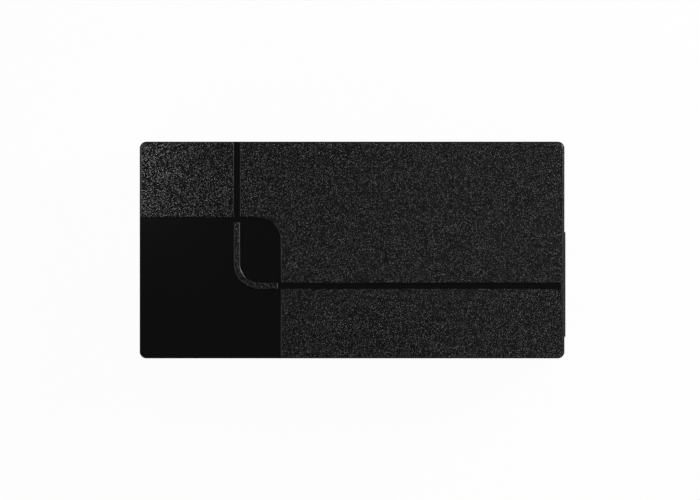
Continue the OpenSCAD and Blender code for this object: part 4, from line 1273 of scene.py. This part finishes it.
def newCan(r, h):
    bead, fold, sunk = can["bead"], can["fold"], can["sunk"]
    outline = [(0, 0), (r - 0.3 * mm, 0), (r, 0.3 * mm), (r, 1.8 * mm), (r - 0.6 * bead, 2.2 * mm),
               (r - bead, 2.6 * mm), (r - bead, 2.9 * mm), (r - 0.6 * bead, 3.2 * mm), (r, 3.6 * mm)]
    outline += [(r - 0.6 * mm * (1 - math.cos(a)), h - 0.6 * mm * (1 - math.sin(a)))
                for a in [math.radians(18 * i) for i in range(6)]]
    outline += [(r - fold, h), (r - fold - 0.1 * mm, h - sunk), (0, h - sunk)]
    made = turned(outline)
    long = r - fold - 0.5 * mm
    for turn in (0, math.pi / 2):
        score = newBlock((-long, -can["score"] / 2, h - sunk - can["score"]), (long, can["score"] / 2, h))
        cut(made, place(score, turn=(0, 0, turn)))
    useMaterials(made, finishes["capacitor_sleeve"], canAluminium, sleeveBand)
    for face in made.data.polygons:
        x, y, z = face.center
        if z > h - sunk - can["score"] - 0.05 * mm and math.hypot(x, y) < r - fold:
            face.material_index = 1
        elif abs(math.atan2(y, x)) < can["band"] and z > 0.1 * mm:
            face.material_index = 2
        else:
            face.material_index = 0
    return made


def standCans():
    low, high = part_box("bulk_capacitor")
    r = (high.x - low.x) / 2
    bulk = place(newCan(r, high.z - low.z), (low.x + r, low.y + r, low.z), (0, 0, 2.2))
    smoothen(bulk)
    standFor(bulk, "bulk_capacitor")
    low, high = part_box("output_capacitors")
    r = (high.x - low.x) / 2
    pitch = (high.y - low.y) / 2 - r
    row = repeat(newCan(r, high.z - low.z),
                 [((low.x + r, low.y + r + i * pitch, low.z), (0, 0, 0)) for i in range(3)])
    smoothen(row)
    standFor(row, "output_capacitors")


# Dipped discs: a lens of epoxy that runs a little way down its two wires

disc = {"varistor": (0.4 * mm, 2.5 * mm), "safety_capacitor": (0.3 * mm, 2.0 * mm)}


def standDiscs():
    for node, (wireR, apart) in disc.items():
        low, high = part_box(node)
        r = (high.x - low.x) / 2
        half = (high.y - low.y) / 2
        outline = [(r * math.sin(a) ** 0.35, -half * math.cos(a))
                   for a in [math.pi * i / 20 for i in range(1, 20)]]
        outline = [(0, -half)] + outline + [(0, half)]
        lens = place(turned(outline), (low.x + r, low.y + half, high.z - r), (math.pi / 2, 0, 0))
        useMaterials(lens, finishes["blue_epoxy"], tinnedCopper)
        long = high.z - r - low.z
        wire = turned([(0, 0), (wireR, 0), (wireR, long), (0, long)], 16)
        useMaterials(wire, finishes["blue_epoxy"], tinnedCopper)
        for face in wire.data.polygons:
            face.material_index = 1
        neck = turned([(wireR * 0.9, 0.2 * mm), (wireR * 1.25, 0.25 * mm), (wireR * 1.6, 1.2 * mm),
                       (wireR * 2.4, 2.2 * mm), (wireR * 0.9, 2.2 * mm), (wireR * 0.9, 0.2 * mm)], 16)
        useMaterials(neck, finishes["blue_epoxy"], tinnedCopper)
        legs = [((low.x + r + side * apart, low.y + half, low.z), (0, 0, 0)) for side in (-1, 1)]
        necks = [((x, y, z + 0.5 * mm), turn) for (x, y, z), turn in legs]
        piece = join([lens, repeat(wire, legs), repeat(neck, necks)])
        smoothen(piece, 60)
        standFor(piece, node)


# The chokes: turns of enamelled wire laid side by side round a ring

lineChoke = {"wireR": 0.45 * mm, "from": -32, "to": 60, "turns": 8, "inner": 4.1 * mm, "outer": 6.8 * mm,
             "deep": 7.1 * mm, "corner": 0.9 * mm}
outputChoke = {"wireR": 0.42 * mm, "turns": 18, "inner": 2.85 * mm, "outer": 6.05 * mm, "deep": 6.1 * mm,
               "corner": 0.8 * mm}


def windChokes():
    low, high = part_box("line_choke_core")
    middle = (low + high) / 2
    wound = lineChoke
    turn = wireTurn(wound["deep"], wound["outer"] - wound["inner"], wound["corner"], wound["wireR"])
    radius = (wound["outer"] + wound["inner"]) / 2
    places = []
    for i in range(wound["turns"]):
        angle = math.radians(wound["from"] + (wound["to"] - wound["from"]) * i / (wound["turns"] - 1))
        for side in (-1, 1):
            at = (middle.x, middle.y + side * radius * math.cos(angle), middle.z + radius * math.sin(angle))
            places.append((at, (side * (angle - math.pi / 2), 0, 0)))
    winding = repeat(turn, places)
    useMaterials(winding, finishes["copper_wire"])
    smoothen(winding, 60)
    standFor(winding, "line_choke_windings")

    low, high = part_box("output_choke_core")
    middle = (low + high) / 2
    wound = outputChoke
    turn = wireTurn(wound["outer"] - wound["inner"], wound["deep"], wound["corner"], wound["wireR"])
    radius = (wound["outer"] + wound["inner"]) / 2
    places = []
    for i in range(wound["turns"]):
        angle = math.tau * i / wound["turns"]
        at = (middle.x + radius * math.cos(angle), middle.y + radius * math.sin(angle), middle.z)
        places.append((at, (0, 0, angle)))
    winding = repeat(turn, places)
    useMaterials(winding, finishes["copper_wire"])
    smoothen(winding, 60)
    standFor(winding, "output_choke_winding")
    easedNode("line_choke_core", 0.5 * mm, 3)
    easedNode("output_choke_core", 0.6 * mm, 3)
    easedNode("line_choke_base", 0.4 * mm, 2)


# The fuse: an open glass tube with a thin element soldered into its caps

fuse = {"wall": 0.45 * mm, "elementR": 0.12 * mm, "beadR": 0.9 * mm, "beadL": 1.2 * mm}


def fitFuse():
    low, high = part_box("fuse_tube")
    middle = (low + high) / 2
    r, half = (high.z - low.z) / 2, (high.x - low.x) / 2
    bore = r - fuse["wall"]
    tube = turned([(bore, -half), (r, -half), (r, half), (bore, half), (bore, -half)])
    useMaterials(tube, finishes["fuse_glass"])
    smoothen(place(tube, middle, (0, math.pi / 2, 0)))
    standFor(tube, "fuse_tube")
    thin, bead, run = fuse["elementR"], fuse["beadR"], fuse["beadL"]
    element = turned([(0, -half), (bead, -half), (0.7 * bead, run / 2 - half), (thin, run - half),
                      (thin, half - run), (0.7 * bead, half - run / 2), (bead, half), (0, half)], 16)
    useMaterials(element, tinnedCopper)
    smoothen(place(element, middle, (0, math.pi / 2, 0)), 50)
    element.name = "fuse_element"
    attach(element, bodyOf["fuse_tube"])
    easedNode("fuse_caps", 0.25 * mm, 2)
    easedNode("fuse_clips", 0.08 * mm, 1)


# Moulded packages: the body is epoxy, and what reaches out of it is tinned metal

package = {"easing": 0.18 * mm, "legs": 1.2 * mm, "within": 0.02 * mm, "stand": 0.7 * mm,
           "flatLow": 4.9 * mm, "flatHigh": 14.1 * mm, "bridgeLow": 2.9 * mm, "bridgeEasing": 0.4 * mm}


def finishPackages():
    for node in ("supply_controller", "port_controller", "optocoupler", "port_transformers"):
        piece = weldedCopy(node)
        useMaterials(piece, finishes[slotOf[node]], tinnedCopper)
        low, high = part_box(node)
        inset = package["legs"] - package["within"]
        body = (low.x + inset, high.x - inset)
        easeEdges(piece, package["easing"], 2,
                  lambda p: body[0] < p.x < body[1] and p.z > low.z + package["stand"])
        for face in piece.data.polygons:
            face.material_index = 0 if body[0] < face.center.x < body[1] else 1
        smoothen(piece)
        standFor(piece, node)
    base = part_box("circuit_board")[1].z
    for node in ("switching_transistor", "output_rectifier"):
        piece = weldedCopy(node)
        useMaterials(piece, finishes["chip_plastic"], tinnedCopper)
        easeEdges(piece, package["easing"], 2, lambda p: p.z > base + package["flatLow"])
        for face in piece.data.polygons:
            inBody = package["flatLow"] < face.center.z - base < package["flatHigh"]
            face.material_index = 0 if inBody else 1
        smoothen(piece)
        standFor(piece, node)
    bridge = weldedCopy("bridge_rectifier")
    useMaterials(bridge, finishes["chip_plastic"], tinnedCopper)
    easeEdges(bridge, package["bridgeEasing"], 2, lambda p: p.z > base + package["bridgeLow"])
    for face in bridge.data.polygons:
        face.material_index = 0 if face.center.z > base + package["bridgeLow"] else 1
    smoothen(bridge)
    standFor(bridge, "bridge_rectifier")


finishBoard()
standCans()
standDiscs()
windChokes()
fitFuse()
finishPackages()
easedNode("line_capacitor", 0.6 * mm, 3)
easedNode("primary_heatsink", 0.15 * mm, 1)
easedNode("secondary_heatsink", 0.15 * mm, 1)
easedNode("transformer_core", 0.35 * mm, 2)
easedNode("transformer_bobbin", 0.2 * mm, 1)
easedNode("transformer_winding", 0.35 * mm, 2)
print("the parts on the board are finished")
